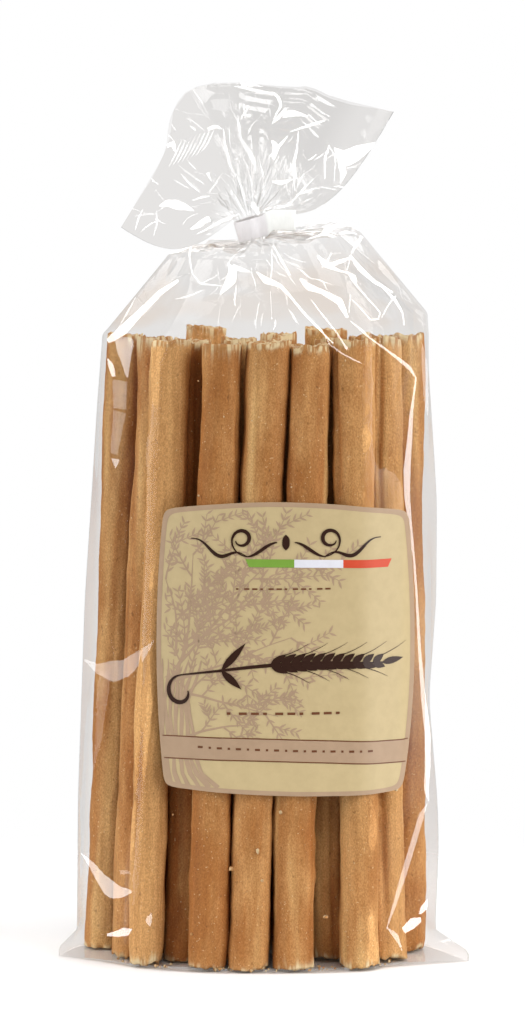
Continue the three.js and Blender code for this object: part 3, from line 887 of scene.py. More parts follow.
# Sharp folds that lie on the front of the film and throw back the light of one lamp. Each has
# the lamp's side (-1 left, 1 right), how brightly it shines, and its places (x, z) with its
# width at each
BAG_FOLDS = (
    (-1, 0.9, (
        (-27.5, 223.5, 1), (-33.5, 219, 2.2), (-40, 212.5, 2.9), (-46, 206.5, 3.9),
        (-50.5, 203, 1.3),
    )),
    (-1, 0.4, ((-45, 205, 6.5), (-45, 201.5, 5.5), (-44.5, 197, 2.9), (-44, 192.5, 0.7))),
    (-1, 0.75, ((-50.5, 197.5, 0.3), (-49.5, 195.5, 2), (-48.5, 192, 1.3))),
    (-1, 0.16, ((-46.5, 191, 4.9), (-46.5, 186, 4.5), (-46.5, 182, 4.2))),
    (-1, 0.12, ((-46.5, 181, 4.2), (-47.5, 174, 3.2), (-48.5, 167, 2.3))),
    (-1, 0.42, ((-48, 165.5, 2.9), (-48, 162.5, 0.3))),
    (-1, 0.26, (
        (-58.5, 98, 0.7), (-54, 96, 3.2), (-49.5, 96, 6.8), (-45, 98, 5.2), (-40, 103, 3.2),
        (-35.5, 108.5, 0.3),
    )),
    (-1, 0.5, (
        (-60, 33.5, 0.3), (-56.5, 30.5, 2.3), (-53.5, 27, 3.9), (-50, 24, 6.2), (-47, 24, 3.9),
        (-43, 25.5, 0.7),
    )),
    (-1, 0.8, ((-51.5, 8.5, 0.7), (-47.5, 10, 2), (-45, 11.5, 2.6), (-43, 13, 0.3))),
    (-1, 0.16, ((-47, 30.5, 1.3), (-43.5, 31.5, 1))),
    (-1, 0.42, ((-36.5, 19, 0.3), (-37.5, 16.5, 2.3), (-37, 14.5, 0.3))),
    (1, 0.7, ((27.5, 232, 0.7), (30.5, 228, 2), (35, 223.5, 1.3), (41.5, 219, 0.7))),
    (1, 0.7, ((38, 221, 0.3), (42, 217, 1.3), (44.5, 213, 0.7), (45, 209, 0.5))),
    (1, 0.55, ((42.5, 218, 0.7), (40, 216, 0.7), (37.5, 213, 0.5))),
    (1, 0.55, (
        (26.5, 227.5, 0.3), (28.5, 225.5, 2.6), (29.5, 223, 0.7), (33, 219, 0.6), (37, 214.5, 0.6),
        (36.5, 212.5, 0.8), (34, 212.5, 0.6), (30, 217, 0.6), (28, 219, 0.3),
    )),
    (1, 0.7, (
        (11.5, 225.5, 0.7), (14, 223, 2.9), (18.5, 221.5, 1.9), (24, 218.5, 3.1),
        (26.5, 213.5, 1.1),
    )),
    (1, 0.7, ((17, 232.5, 0.7), (19.5, 230, 2.9), (23.5, 228, 1), (27, 227, 0.3))),
    (1, 0.7, ((20.5, 229.5, 2), (24, 230.5, 1.6), (27.5, 231.5, 0.7))),
    (1, 0.55, ((18.5, 229, 0.7), (20.5, 231.5, 1), (21.5, 233.5, 0.3))),
    (1, 0.55, ((31.5, 237, 1.6), (28, 232.5, 1))),
    (1, 0.4, ((27.5, 231.5, 0.7), (26.5, 228, 0.5))),
    (1, 0.55, ((13.5, 237.5, 0.3), (19, 239, 1.3), (25.5, 240, 0.5))),
    (1, 0.4, ((27.5, 220.5, 0.7), (27, 215, 0.5))),
    (1, 0.55, (
        (27.5, 212.5, 0.3), (31, 209.5, 1.1), (33.5, 207, 0.7), (38.5, 203, 0.6), (44, 198, 1),
        (47, 195, 1.1), (49, 191.5, 0.3),
    )),
    (1, 0.48, (
        (49, 191.5, 0.5), (47.5, 180.5, 1.1), (47, 172.5, 1.7), (46, 162.5, 2.4), (46, 154.5, 1.9),
        (47, 146, 1.2), (48.5, 133, 0.7), (49.5, 119.5, 0.8), (50.5, 103, 1), (52, 86, 1.6),
        (53.5, 74, 2), (53.5, 62.5, 2), (53, 56, 1.6), (54, 51.5, 0.3),
    )),
    (1, 0.3, (
        (53.5, 51, 0.3), (51.5, 47.5, 2), (48.5, 38, 2), (45.5, 29, 2), (42.5, 20, 1.3),
        (40, 13, 0.3),
    )),
    (1, 0.4, ((40, 13, 0.3), (43, 9.5, 1.6), (45, 5, 0.3))),
    (1, 0.75, ((45.5, 10.5, 2.3), (48.5, 12, 3.9), (51.5, 12.5, 1.6))),
    (1, 0.7, ((51, 14.5, 0.7), (52.5, 16, 2.6), (53.5, 18.5, 0.3))),
    (1, 0.15, ((51, 202.5, 0.3), (52, 194, 2), (52.5, 184, 1.6), (53, 179, 0.3))),
    (1, 0.7, (
        (-2.5, 227.5, 0.3), (0.5, 225, 2.9), (5, 223.5, 1.6), (8.5, 220, 1), (12.5, 215, 0.7),
        (17.5, 210, 0.7), (22, 205.5, 0.5),
    )),
    (1, 0.4, ((6, 222.5, 0.3), (11.5, 216.5, 0.6), (18.5, 209.5, 0.5), (21, 205, 0.4))),
    (1, 0.4, ((20.5, 205.5, 0.4), (24.5, 202.5, 0.5), (28, 200.5, 0.5), (31, 199, 0.3))),
    (1, 0.55, ((15, 219, 0.3), (18.5, 214.5, 0.7), (23, 209, 0.7), (26.5, 203.5, 0.7))),
    (-1, 0.9, (
        (-11.5, 230, 0.3), (-10, 227.5, 3.6), (-10.5, 225, 4.5), (-12, 223, 2.9), (-14, 220.5, 0.3),
    )),
    (-1, 0.9, ((-10, 229, 2), (-7, 228, 1.6), (-4.5, 227.5, 0.3))),
    (-1, 0.5, ((-23.5, 234, 1), (-24, 231, 1), (-23, 226.5, 0.7))),
    (-1, 0.35, ((-28.5, 218, 0.3), (-24, 219.5, 1), (-19.5, 221.5, 0.3))),
    (1, 0.3, ((2, 222, 0.3), (2.5, 213, 0.3))),
    (1, 0.55, ((3, 235.5, 0.3), (5.5, 231, 1), (8.5, 226.5, 0.5))),
    (1, 0.4, ((2.5, 234.5, 0.3), (2.5, 228.5, 0.7), (2, 224.5, 0.3))),
    (-1, 0.5, ((-47, 207.5, 0.3), (-44, 212.5, 0.7), (-41.5, 217, 0.3))),
    (-1, 0.4, ((-23, 226.5, 0.3), (-20.5, 223.5, 1), (-13.5, 223, 0.5))),
)
# The same on the front of the frill
FRILL_FOLDS = (
    (-1, 0.9, (
        (-33.5, 247, 0.7), (-31, 248, 2.9), (-28, 247.5, 4.5), (-25, 246.5, 2.6),
        (-22.5, 245.5, 0.3),
    )),
    (-1, 0.9, ((-23.5, 239.5, 0.7), (-20.5, 241, 2.6), (-18, 243, 2.9), (-16, 241, 0.3))),
    (1, 0.75, ((22.5, 265.5, 0.7), (26, 262, 7.2), (30, 264, 6.5), (36, 267, 0.7))),
    (1, 0.55, ((24.5, 261.5, 2.6), (25.5, 257.5, 2.9), (24.5, 254, 0.3))),
    (1, 0.75, ((6, 276.5, 2.6), (9.5, 277, 2.9), (14, 276, 0.3))),
    (1, 0.55, ((2.5, 273.5, 0.3), (4.5, 275.5, 1.6), (7, 278.5, 1))),
    (1, 0.7, ((2.5, 283.5, 0.5), (4.5, 282, 1.3), (5.5, 279.5, 1.1), (3, 275, 0.3))),
    (-1, 0.75, ((-13.5, 287.5, 0.3), (-7, 286, 1), (-0.5, 285, 0.3))),
    (-1, 0.75, ((-9.5, 285, 0.3), (-4, 284, 1), (2.5, 283, 0.7))),
    (1, 0.55, ((21, 266.5, 0.7), (19.5, 262, 1), (19.5, 255.5, 0.5))),
    (1, 0.4, ((21, 266, 0.5), (23, 262.5, 0.7), (22.5, 254.5, 0.3))),
    (1, 0.55, ((11, 271, 0.5), (10.5, 265, 1), (9.5, 260.5, 1.3), (10.5, 255.5, 0.3))),
    (1, 0.55, ((19.5, 274.5, 0.7), (14.5, 273, 1.3), (8.5, 271, 0.3))),
    (1, 0.7, ((2.5, 255, 0.7), (5.5, 254.5, 2), (9.5, 255.5, 0.3))),
    (1, 0.7, ((2.5, 268, 0.7), (4, 266, 2.9), (3, 262, 1))),
    (1, 0.55, ((2, 263, 0.7), (6, 267.5, 1.3), (7.5, 269.5, 0.3))),
    (-1, 0.75, ((-13, 271.5, 0.3), (-12.5, 266, 1), (-11, 260.5, 1), (-9, 256.5, 0.3))),
    (-1, 0.3, ((-8.5, 270, 0.7), (-6, 266, 2.3), (-3.5, 262, 2), (-2.5, 258, 0.7))),
    (1, 0.7, ((-4, 248, 2.3), (-2.5, 246, 2.3), (-1.5, 244, 0.7))),
    (-1, 0.6, ((-26.5, 257.5, 0.3), (-24, 254.5, 1), (-20.5, 251.5, 0.3))),
    (-1, 0.6, ((-13.5, 257.5, 0.3), (-15.5, 254.5, 1), (-17.5, 252, 0.3))),
    (-1, 0.6, ((-23, 249, 0.3), (-20, 250, 1), (-17, 250.5, 0.3))),
    (-1, 0.6, ((-18, 258, 1.6), (-17, 255.5, 0.3))),
    (-1, 0.5, ((-10, 251.5, 0.3), (-8, 248, 1), (-6, 244, 0.3))),
    (1, 0.4, ((7.5, 246.5, 0.3), (11.5, 251, 0.7), (16, 255.5, 0.3))),
    (-1, 0.5, ((-39, 246, 0.3), (-40.5, 242.5, 1), (-41.5, 239, 0.3))),
    (-1, 0.5, ((-34.5, 245.5, 0.3), (-34.5, 241, 1), (-35.5, 237.5, 0.3))),
    (-1, 0.8, ((-21.5, 238, 0.3), (-16, 240.5, 1.3), (-11.5, 243, 1), (-8, 244.5, 0.3))),
    (-1, 0.35, ((-24, 286, 0.3), (-20.5, 281, 0.5), (-18, 276.5, 0.3))),
    (-1, 0.3, ((-28.5, 278.5, 0.3), (-23.5, 276.5, 0.5), (-18, 276, 0.3))),
    (-1, 0.8, ((-18, 271.5, 1.3), (-15.5, 272.5, 1.6), (-13.5, 271.5, 0.3))),
    (-1, 0.9, ((-31, 267, 2), (-29, 267.5, 2.3), (-28.5, 265, 0.7))),
    (1, 0.4, ((-2, 263, 0.5), (-0.5, 258, 0.7), (0, 250, 0.5))),
    (-1, 0.4, ((-5.5, 260, 0.5), (-4, 254.5, 0.7), (-2.5, 249.5, 0.3))),
)
FOLD_FACES = {-1: (-0.538, -0.808, 0.238), 1: (0.519, -0.815, 0.255)}  # where each side's face
FOLD_PULL = 8  # how firmly a fold faces that way, whatever the film under it does
FOLD_MIRRORS = 0.2  # share of the light that the brightest fold mirrors
FOLD_LIFT = 0.12  # the folds stand this far in front of the film
SLIM = 0.72  # width of the folds above the breadsticks, as a share


def small_folds(rng, count, centre, turns, reaches):
    """Short thin folds that run out from a centre (x, z), within two directions in degrees and
    two distances."""
    folds = []
    for _ in range(count):
        turn, reach = math.radians(rng.uniform(*turns)), rng.uniform(*reaches)
        x, z = centre[0] + reach * math.cos(turn), centre[1] + reach * math.sin(turn)
        width, long = rng.uniform(0.15, 0.9), rng.uniform(2, 9)
        side = -1 if rng.uniform(-1, 1) > 0.7 * math.cos(turn) else 1
        places = [(x, z, 0.1)]
        for wide in (width, width * rng.uniform(0.4, 1.2), 0.1):
            turn += rng.uniform(-0.45, 0.45)
            x, z = x + long * 0.33 * math.cos(turn), z + long * 0.33 * math.sin(turn)
            places.append((x, z, wide))
        folds.append((side, rng.uniform(0.15, 0.6), places))
    return folds


def film_folds(film, folds, look):
    """Points, faces and values of strips of folded film that lie on the front of a film mesh."""
    tree = BVHTree.FromPolygons(film[0].tolist(), film[1])
    points, faces, facing, mirrors = [], [], [], []
    across = np.linspace(-0.5, 0.5, 5)
    for k, (side, strength, places) in enumerate(folds):
        line = np.array(places, float)
        length = np.linalg.norm(np.diff(line[:, :2], axis=0), axis=1).sum()
        line = along_line(line, np.linspace(0, 1, max(6, int(length / 0.8))))
        slim = np.where(line[:, 1:2] > STICK_TOP, SLIM, 1.0)
        beside = sideways(line[:, :2]) * line[:, 2:] * slim
        spots = line[:, None, :2] + beside[:, None, :] * across[:, None]
        lift = FOLD_LIFT + 0.004 * (k % 12)
        first = len(points)
        for x, z in spots.reshape(-1, 2):
            hit = tree.ray_cast(Vector((x, -100, z)), Vector((0, 1, 0)))[0]
            hit = hit or tree.find_nearest(Vector((x, 0, z)))[0]
            points.append((hit.x, hit.y - lift, hit.z))
        faces += grid_faces(len(line), len(across), first=first)
        facing += [[FOLD_PULL * part for part in FOLD_FACES[side]]] * spots[..., 0].size
        mirrors += [FOLD_MIRRORS * strength - look.shine] * spots[..., 0].size
    return points, faces, {"faces": facing, "mirrors": mirrors, "clearer": [1.0] * len(points)}


# ---------------------------------------------------------------------------------------------
# Label
# ---------------------------------------------------------------------------------------------

LABEL_LIFT = 0.5  # the label's face stands this far in front of the film
LABEL_BARREL = (0.058, 0.07)  # how much its sides and its ends bulge, as shares of its size
LABEL_CORNER = 36  # how sharp its corners are
BORDER = (0.02, 1.5)  # the border's outer and inner edge, from the label's own edge
BAND = (-0.745, -0.595)  # the band's lower and upper edge, from -1 to 1 up the label
RIBBON = (-6.0, 41.0, 133.7, 136.3)  # left, right, low and high
SLANT = 1.2  # how far the ribbon's lower corners stand in
WHEAT_START, WHEAT_LENGTH = (-27.0, 98.0), 66.0
SCROLL_CENTRE, SCROLL_HALF = (7.0, 140.0), 24.0
MARKS = ((126.6, -9.0, 22.0, 1.0), (86.0, -12.0, 24.0, 1.5))  # rows: height, first, last, size
# The tree at the label's left: its foliage ends above the band, and its main branches have a
# start (x from the label's left edge, z), a direction in radians and a length
FOLIAGE_FOOT = 74.5
BRANCHES = (
    ((6, 88), 0.75, 22),
    ((6, 98), 1.25, 40),
    ((6, 100), 0.9, 46),
    ((6, 96), 0.45, 40),
    ((8, 106), 0.65, 40),
    ((6, 104), 1.5, 30),
    ((10, 78), 0.5, 24),
    ((10, 92), -0.1, 30),
)
# Its trunk: strips side by side, and at some heights how far apart and how wide they are
TRUNK_STRIPS = 7
TRUNK_SPREAD = ((60, 3.3), (66, 2.2), (74, 1.75), (90, 1.45), (104, 2.2))
TRUNK_WIDTH = ((60, 1.7), (66, 1.7), (74, 1.45), (96, 1.3), (103, 0.3))
# How far in front of the label's face each ink lies
INK_LIFT = {"tan": 0.03, "ribbon": 0.11, "rust": 0.12, "brown": 0.19}


def label_place(p, q, inset=0.0):
    """x and z of a place on the label, from -1 to 1 across and up, within its barrel outline. The
    label hangs a little askew."""
    x = LABEL_CENTRE[0] + (LABEL_HALF[0] - inset) * (1 - LABEL_BARREL[0] * q * q) * p
    z = LABEL_CENTRE[2] + (LABEL_HALF[2] - inset) * (1 - LABEL_BARREL[1] * p * p) * q
    x = x - 1.5 * np.clip(p, 0, 1) * np.clip(-q, 0, 1) ** 2
    z = z + 0.2 - 0.86 * q + (0.25 * q - 0.95) * p + (0.95 * q - 1.3) * p * p
    return x, z


def label_outline(inset, columns=80):
    """The rounded outline of the label as one closed line, from its lower left corner."""
    t = np.linspace(-1, 1, columns + 1)[:-1]
    one = np.ones(columns)
    p, q = np.concatenate([t, one, -t, -one]), np.concatenate([-one, t, one, -t])
    keep = 1 / (np.abs(p) ** LABEL_CORNER + np.abs(q) ** LABEL_CORNER) ** (1 / LABEL_CORNER)
    x, z = label_place(p * keep, q * keep, inset)
    return np.append(x, x[0]), np.append(z, z[0])


def label_sheet(columns, rows):
    """x and z of a grid of points over the label, whose corners are rounded."""
    p, q = np.meshgrid(np.linspace(-1, 1, columns + 1), np.linspace(-1, 1, rows + 1))
    size = np.maximum(np.maximum(np.abs(p), np.abs(q)), 1e-6)
    rounded = np.abs(p) ** LABEL_CORNER + np.abs(q) ** LABEL_CORNER + 1e-300
    keep = np.minimum(1, size / rounded ** (1 / LABEL_CORNER))
    return label_place(p * keep, q * keep)


class Print:
    """Flat shapes of one ink that lie on the label and follow its curve."""

    def __init__(self, front_depth, ink):
        self.front_depth = front_depth
        self.lift = INK_LIFT[ink]
        self.shapes = 0
        self.points = []
        self.faces = []

    def add(self, places, faces):
        """Adds a shape, a hair higher or lower than the last, so that none lie in one another."""
        first = len(self.points)
        self.shapes = (self.shapes + 7) % 23
        lift = LABEL_LIFT + self.lift + 0.003 * self.shapes
        for x, z in places:
            self.points.append((x, float(self.front_depth(x, z)) - lift, z))
        self.faces += [[first + k for k in face] for face in faces]

    def strip(self, line, widths):
        """A stroke along a line of (x, z) points whose width changes on the way."""
        line = np.asarray(line, float)
        widths = np.broadcast_to(widths, len(line))
        beside = sideways(line) * (widths[:, None] / 2)
        places = np.stack([line - beside, line + beside], 1).reshape(-1, 2)
        self.add(places, [[2 * k, 2 * k + 2, 2 * k + 3, 2 * k + 1] for k in range(len(line) - 1)])

    def leaf(self, x, z, angle, length, width):
        """A pointed oval that starts at x, z."""
        t = np.linspace(0, 1, 7)
        half = width / 2 * np.sin(math.pi * t**0.8)
        along = np.concatenate([t, t[-2:0:-1]]) * length
        across = np.concatenate([half, -half[-2:0:-1]])
        c, s = math.cos(angle), math.sin(angle)
        places = np.stack([x + along * c - across * s, z + along * s + across * c], -1)
        self.add(places, [list(range(len(places)))])

    def block(self, edges, columns):
        """A four-sided field of ink whose lower and upper edges are lines of (x, z) points."""
        lower, upper = (along_line(edge, np.linspace(0, 1, columns + 1)) for edge in edges)
        steps = np.linspace(0, 1, 5)[:, None, None]
        places = mix(lower[None], upper[None], steps).reshape(-1, 2)
        self.add(places, grid_faces(5, columns + 1))

    def piece(self, name, material):
        return make_piece(name, self.points, self.faces, material)


def inside_label(x, z, margin):
    """Whether a place is on the label, at least a margin from its edge."""
    p, q = (x - LABEL_CENTRE[0]) / LABEL_HALF[0], (z - LABEL_CENTRE[2]) / LABEL_HALF[2]
    wide = LABEL_HALF[0] * (1 - LABEL_BARREL[0] * q * q) - margin
    high = LABEL_HALF[2] * (1 - LABEL_BARREL[1] * p * p) - margin
    return abs(x - LABEL_CENTRE[0]) < wide and abs(z - LABEL_CENTRE[2]) < high


def draw_branch(ink, rng, start, angle, length, depth):
    """A bending twig with leaves on both sides, which forks into smaller ones."""
    steps = max(4, int(length / 2.3))
    x, z = start
    line = [(x, z)]
    bend = rng.uniform(-0.05, 0.05)
    for k in range(steps):
        angle += bend + rng.uniform(-0.07, 0.07)
        x, z = x + length / steps * math.cos(angle), z + length / steps * math.sin(angle)
        if not inside_label(x, z, 2.4) or z < FOLIAGE_FOOT:
            break
        line.append((x, z))
        if depth < 2:
            for side in (-1, 1):
                leaf_angle = angle + side * rng.uniform(0.5, 0.95)
                size = rng.uniform(2.1, 3.0)
                tip = (x + size * math.cos(leaf_angle), z + size * math.sin(leaf_angle))
                if inside_label(*tip, 1.6) and tip[1] > FOLIAGE_FOOT:
                    ink.leaf(x, z, leaf_angle, size, size * 0.25)
        if depth > 0 and k % 3 == 1:
            fork = angle + (1 if k % 2 else -1) * rng.uniform(0.5, 0.95)
            draw_branch(ink, rng, (x, z), fork, length * rng.uniform(0.42, 0.55), depth - 1)
    if len(line) > 2:
        ink.strip(line, np.linspace(0.3 + 0.3 * depth, 0.2, len(line)))


# ---------------------------------------------------------------------------------------------
# Properties
# ---------------------------------------------------------------------------------------------


def colour_property(name, description, default):
    return FloatVectorProperty(
        name=name, description=description, default=default, size=3, subtype="COLOR", min=0, max=1
    )


class BreadstickSettings(PropertyGroup):
    """Sizes and colours of the breadsticks."""

    thickness: FloatProperty(
        name="Thickness",
        description="Usual thickness of a breadstick",
        default=13.5 * MM,
        min=8 * MM,
        max=16 * MM,
        subtype="DISTANCE",
        unit="LENGTH",
    )
    crust_pale: colour_property("Pale crust", "Crust where two sticks touched", (0.73, 0.465, 0.19))
    crust_light: colour_property("Light crust", "Where it is baked least", (0.64, 0.345, 0.128))
    crust_dark: colour_property("Dark crust", "Where it is baked most", (0.41, 0.165, 0.042))
    crust_edge: colour_property("Red-brown crust", "The darkest streaks", (0.3, 0.09, 0.02))
    # The pores' colour is the painted shade inside the small pits
    pores: colour_property("Pores", "Small dark pits in the crust", (0.13, 0.05, 0.015))
    flour: colour_property("Flour", "Specks of flour on the crust", (0.8, 0.6, 0.33))
    crumb: colour_property("Crumb", "Torn ends and crumbs", (0.71, 0.57, 0.34))
    crumb_shade: colour_property("Crumb shade", "Hollows of the torn ends", (0.43, 0.21, 0.07))


class FilmSettings(PropertyGroup):
    """Look of the clear film."""

    tint: colour_property("Tint", "Light that one layer lets through", (0.893, 0.884, 0.877))
    # A warmer tint in patches: painted reflection of the bread
    bread_reflection_tint: colour_property(
        "Warm tint", "The same in patches that also mirror the bread", (0.886, 0.845, 0.81)
    )
    shine: FloatProperty(
        name="Shine", description="Share of the light mirrored head on", default=0.03, min=0, max=1
    )
    crumple: FloatProperty(
        name="Crumple", description="Height of the film's creases", default=1.0, min=0, max=2
    )


class LabelSettings(PropertyGroup):
    """Colours of the label and its print."""

    paper: colour_property("Paper", "Ground of the label", (0.475, 0.372, 0.2))
    tan: colour_property("Tan", "Border, band and foliage", (0.372, 0.256, 0.165))
    brown: colour_property("Brown", "Ornaments and lines", (0.03, 0.01, 0.005))
    rust: colour_property("Rust", "Thin lines and small marks", (0.14, 0.05, 0.022))
    green: colour_property("Green", "First field of the ribbon", (0.17, 0.32, 0.04))
    white: colour_property("White", "Middle field of the ribbon", (0.66, 0.66, 0.72))
    red: colour_property("Red", "Last field of the ribbon", (0.55, 0.06, 0.022))


class TieSettings(PropertyGroup):
    """The flat band round the neck."""

    # The band's colour is greyer than the tail's, as painted shade; both are one white strip
    band: colour_property("Band", "Colour of the band", (0.72, 0.7, 0.71))
    tail: colour_property("Tail", "Colour of its tail", (0.84, 0.85, 0.83))
    thickness: FloatProperty(
        name="Thickness",
        description="Thickness of the band",
        default=0.45 * MM,
        min=0.1 * MM,
        max=1 * MM,
        subtype="DISTANCE",
        unit="LENGTH",
    )


class StageSettings(PropertyGroup):
    """Floor and light."""

    floor: colour_property("Floor", "Colour of the floor", (0.92, 0.92, 0.92))
    light: FloatProperty(
        name="Light", description="Strength of the soft boxes", default=1.05, min=0
    )
    ambient: FloatProperty(name="Ambient", description="Light from all round", default=0.24, min=0)
    wall: FloatProperty(
        name="Wall", description="How bright gloss sees the wall behind", default=0.8, min=0
    )


class CrumbSettings(PropertyGroup):
    """Loose crumbs in the bag."""

    count: IntProperty(
        name="Count", description="How many crumbs lie in the bag", default=130, min=1, max=600
    )


# ---------------------------------------------------------------------------------------------
# Operators
# ---------------------------------------------------------------------------------------------

# The stage, in metres: where the camera and the lights aim, and how far off they stand
AIM = Vector((-0.0005, 0, 0.147))
CAMERA_DISTANCE, CAMERA_ELEVATION = 1.6, 9
CAMERA_LENS, CAMERA_SENSOR = 173.1, 36
LIGHT_DISTANCE = 1.5
# The soft boxes: azimuth and elevation in degrees, width and height, and radiance
SOFT_BOXES = {
    "left_softbox": (-68, 14, 1.15, 1.7, 4.3),
    "right_softbox": (66, 16, 1.15, 1.7, 5.6),
    "front_softbox": (6, 52, 0.9, 0.5, 3.0),
    "top_softbox": (172, 72, 1.0, 0.8, 3.0),
    "back_softbox": (180, 25, 0.9, 0.6, 3.0),
}
FLOOR_RADIUS = 0.4
FLOOR_FADE = (0.075, 0.2)  # the floor fades out between these distances from the pack's middle


class BAG_OT_stage(Operator):
    """Makes the floor, the lights and the camera"""

    bl_idname = "bag.stage"
    bl_label = "Stage"

    def execute(self, context):
        settings = context.scene.bag_stage
        self.make_floor(settings)
        self.make_world(context.scene, settings)
        self.make_camera(context.scene)
        for name, (azimuth, elevation, width, height, radiance) in SOFT_BOXES.items():
            turn = math.radians(azimuth), math.radians(elevation)
            self.make_softbox(name, turn, (width, height), radiance * settings.light)
        context.scene.view_settings.view_transform = "Standard"
        context.scene.cycles.transparent_max_bounces = 40
        return {"FINISHED"}

    def make_floor(self, settings):
        rings, steps = 16, 96
        reach, turn = np.meshgrid(
            np.linspace(0, FLOOR_RADIUS, rings + 1)[1:],
            np.arange(steps) * 2 * math.pi / steps,
            indexing="ij",
        )
        points = np.stack([reach * np.cos(turn), reach * np.sin(turn), 0 * turn], -1)
        points = [(0, 0, 0), *points.reshape(-1, 3).tolist()]
        faces = [[0, 1 + step, 1 + (step + 1) % steps] for step in range(steps)]
        faces += [face[::-1] for face in grid_faces(rings, steps, wraps=True, first=1)]
        mesh = bpy.data.meshes.new("floor")
        mesh.from_pydata(points, [], faces)
        shader = Shader("pale_floor")
        place = shader.add("ShaderNodeTexCoord").outputs["Object"]
        node = shader.add("ShaderNodeVectorMath", {0: place}, operation="LENGTH")
        fade = shader.between(node.outputs["Value"], *FLOOR_FADE)
        ground = shader.add("ShaderNodeBsdfDiffuse", {"Color": (*settings.floor, 1)}).outputs[0]
        clear = shader.add("ShaderNodeBsdfTransparent").outputs[0]
        surface = shader.add("ShaderNodeMixShader", {0: fade, 1: ground, 2: clear})
        mesh.materials.append(shader.finish(surface))
        floor = bpy.data.objects.new("floor", mesh)
        floor.location.z = -0.1 * MM
        floor.visible_glossy = False
        bpy.context.scene.collection.objects.link(floor)

    def make_world(self, scene, settings):
        """Plain light from all round. Gloss sees a pale wall behind the pack and a dark room in
        front of it instead, and the backdrop is white."""
        world = bpy.data.worlds.new("studio")
        world.use_nodes = True
        tree = world.node_tree
        tree.nodes.clear()
        place = tree.nodes.new("ShaderNodeTexCoord")
        split = tree.nodes.new("ShaderNodeSeparateXYZ")
        tree.links.new(place.outputs["Generated"], split.inputs[0])
        wall = tree.nodes.new("ShaderNodeMapRange")
        tree.links.new(split.outputs["Y"], wall.inputs["Value"])
        wall.inputs["From Max"].default_value = 0.8
        wall.inputs["To Min"].default_value = 0.03
        wall.inputs["To Max"].default_value = settings.wall
        path = tree.nodes.new("ShaderNodeLightPath")
        room, gloss, backdrop = (tree.nodes.new("ShaderNodeBackground") for _ in range(3))
        room.inputs["Color"].default_value = (1, 0.985, 0.97, 1)
        room.inputs["Strength"].default_value = settings.ambient
        gloss.inputs["Color"].default_value = (1, 1, 1, 1)
        tree.links.new(wall.outputs[0], gloss.inputs["Strength"])
        backdrop.inputs["Color"].default_value = (1, 1, 1, 1)
        seen = room
        for light, ray in ((gloss, "Is Glossy Ray"), (backdrop, "Is Camera Ray")):
            pick = tree.nodes.new("ShaderNodeMixShader")
            tree.links.new(path.outputs[ray], pick.inputs[0])
            tree.links.new(seen.outputs[0], pick.inputs[1])
            tree.links.new(light.outputs[0], pick.inputs[2])
            seen = pick
        output = tree.nodes.new("ShaderNodeOutputWorld")
        tree.links.new(seen.outputs[0], output.inputs[0])
        scene.world = world

    def make_camera(self, scene):
        camera = bpy.data.cameras.new("camera")
        camera.sensor_width = CAMERA_SENSOR
        camera.lens = CAMERA_LENS
        seat = bpy.data.objects.new("camera", camera)
        self.look_at_pack(seat, 0, math.radians(CAMERA_ELEVATION), CAMERA_DISTANCE)
        scene.collection.objects.link(seat)
        scene.camera = seat

    def make_softbox(self, name, turn, size, radiance):
        light = bpy.data.lights.new(name, "AREA")
        light.shape = "RECTANGLE"
        light.size, light.size_y = size
        light.energy = radiance * math.pi * size[0] * size[1]
        box = bpy.data.objects.new(name, light)
        self.look_at_pack(box, *turn, LIGHT_DISTANCE)
        box.visible_camera = False
        bpy.context.scene.collection.objects.link(box)

    def look_at_pack(self, item, azimuth, elevation, distance):
        """Stands an item off the pack, to its front at azimuth 0, and faces it."""
        across, ahead = math.sin(azimuth), -math.cos(azimuth)
        level = math.cos(elevation)
        back = Vector((across * level, ahead * level, math.sin(elevation)))
        item.location = AIM + back * distance
        item.rotation_euler = (-back).to_track_quat("-Z", "Y").to_euler()


class BAG_OT_breadsticks(Operator):
    """Makes the breadsticks, each a piece of its own"""

    bl_idname = "bag.breadsticks"
    bl_label = "Breadsticks"

    def execute(self, context):
        settings = context.scene.bag_sticks
        material = crust_material(settings)
        sticks = zip(*place_sticks(settings.thickness / MM))
        for k, (foot, head, size, bake_and_shade, length) in enumerate(sticks):
            fine = k < len(FRONT_STICKS) or foot[1] > BACK_ROW
            rng = np.random.default_rng(100 + k)
            points, faces, values = stick_mesh(rng, foot, head, size, length, fine)
            # Grooves and hollows get darker crust and lumps get lighter crust: painted shade
            values["bake_and_shade"] = bake_and_shade - 0.45 * values.pop("relief")
            name = f"breadstick_{k + 1:02d}"
            make_piece(name, points, faces, material, values=values)
        return {"FINISHED"}


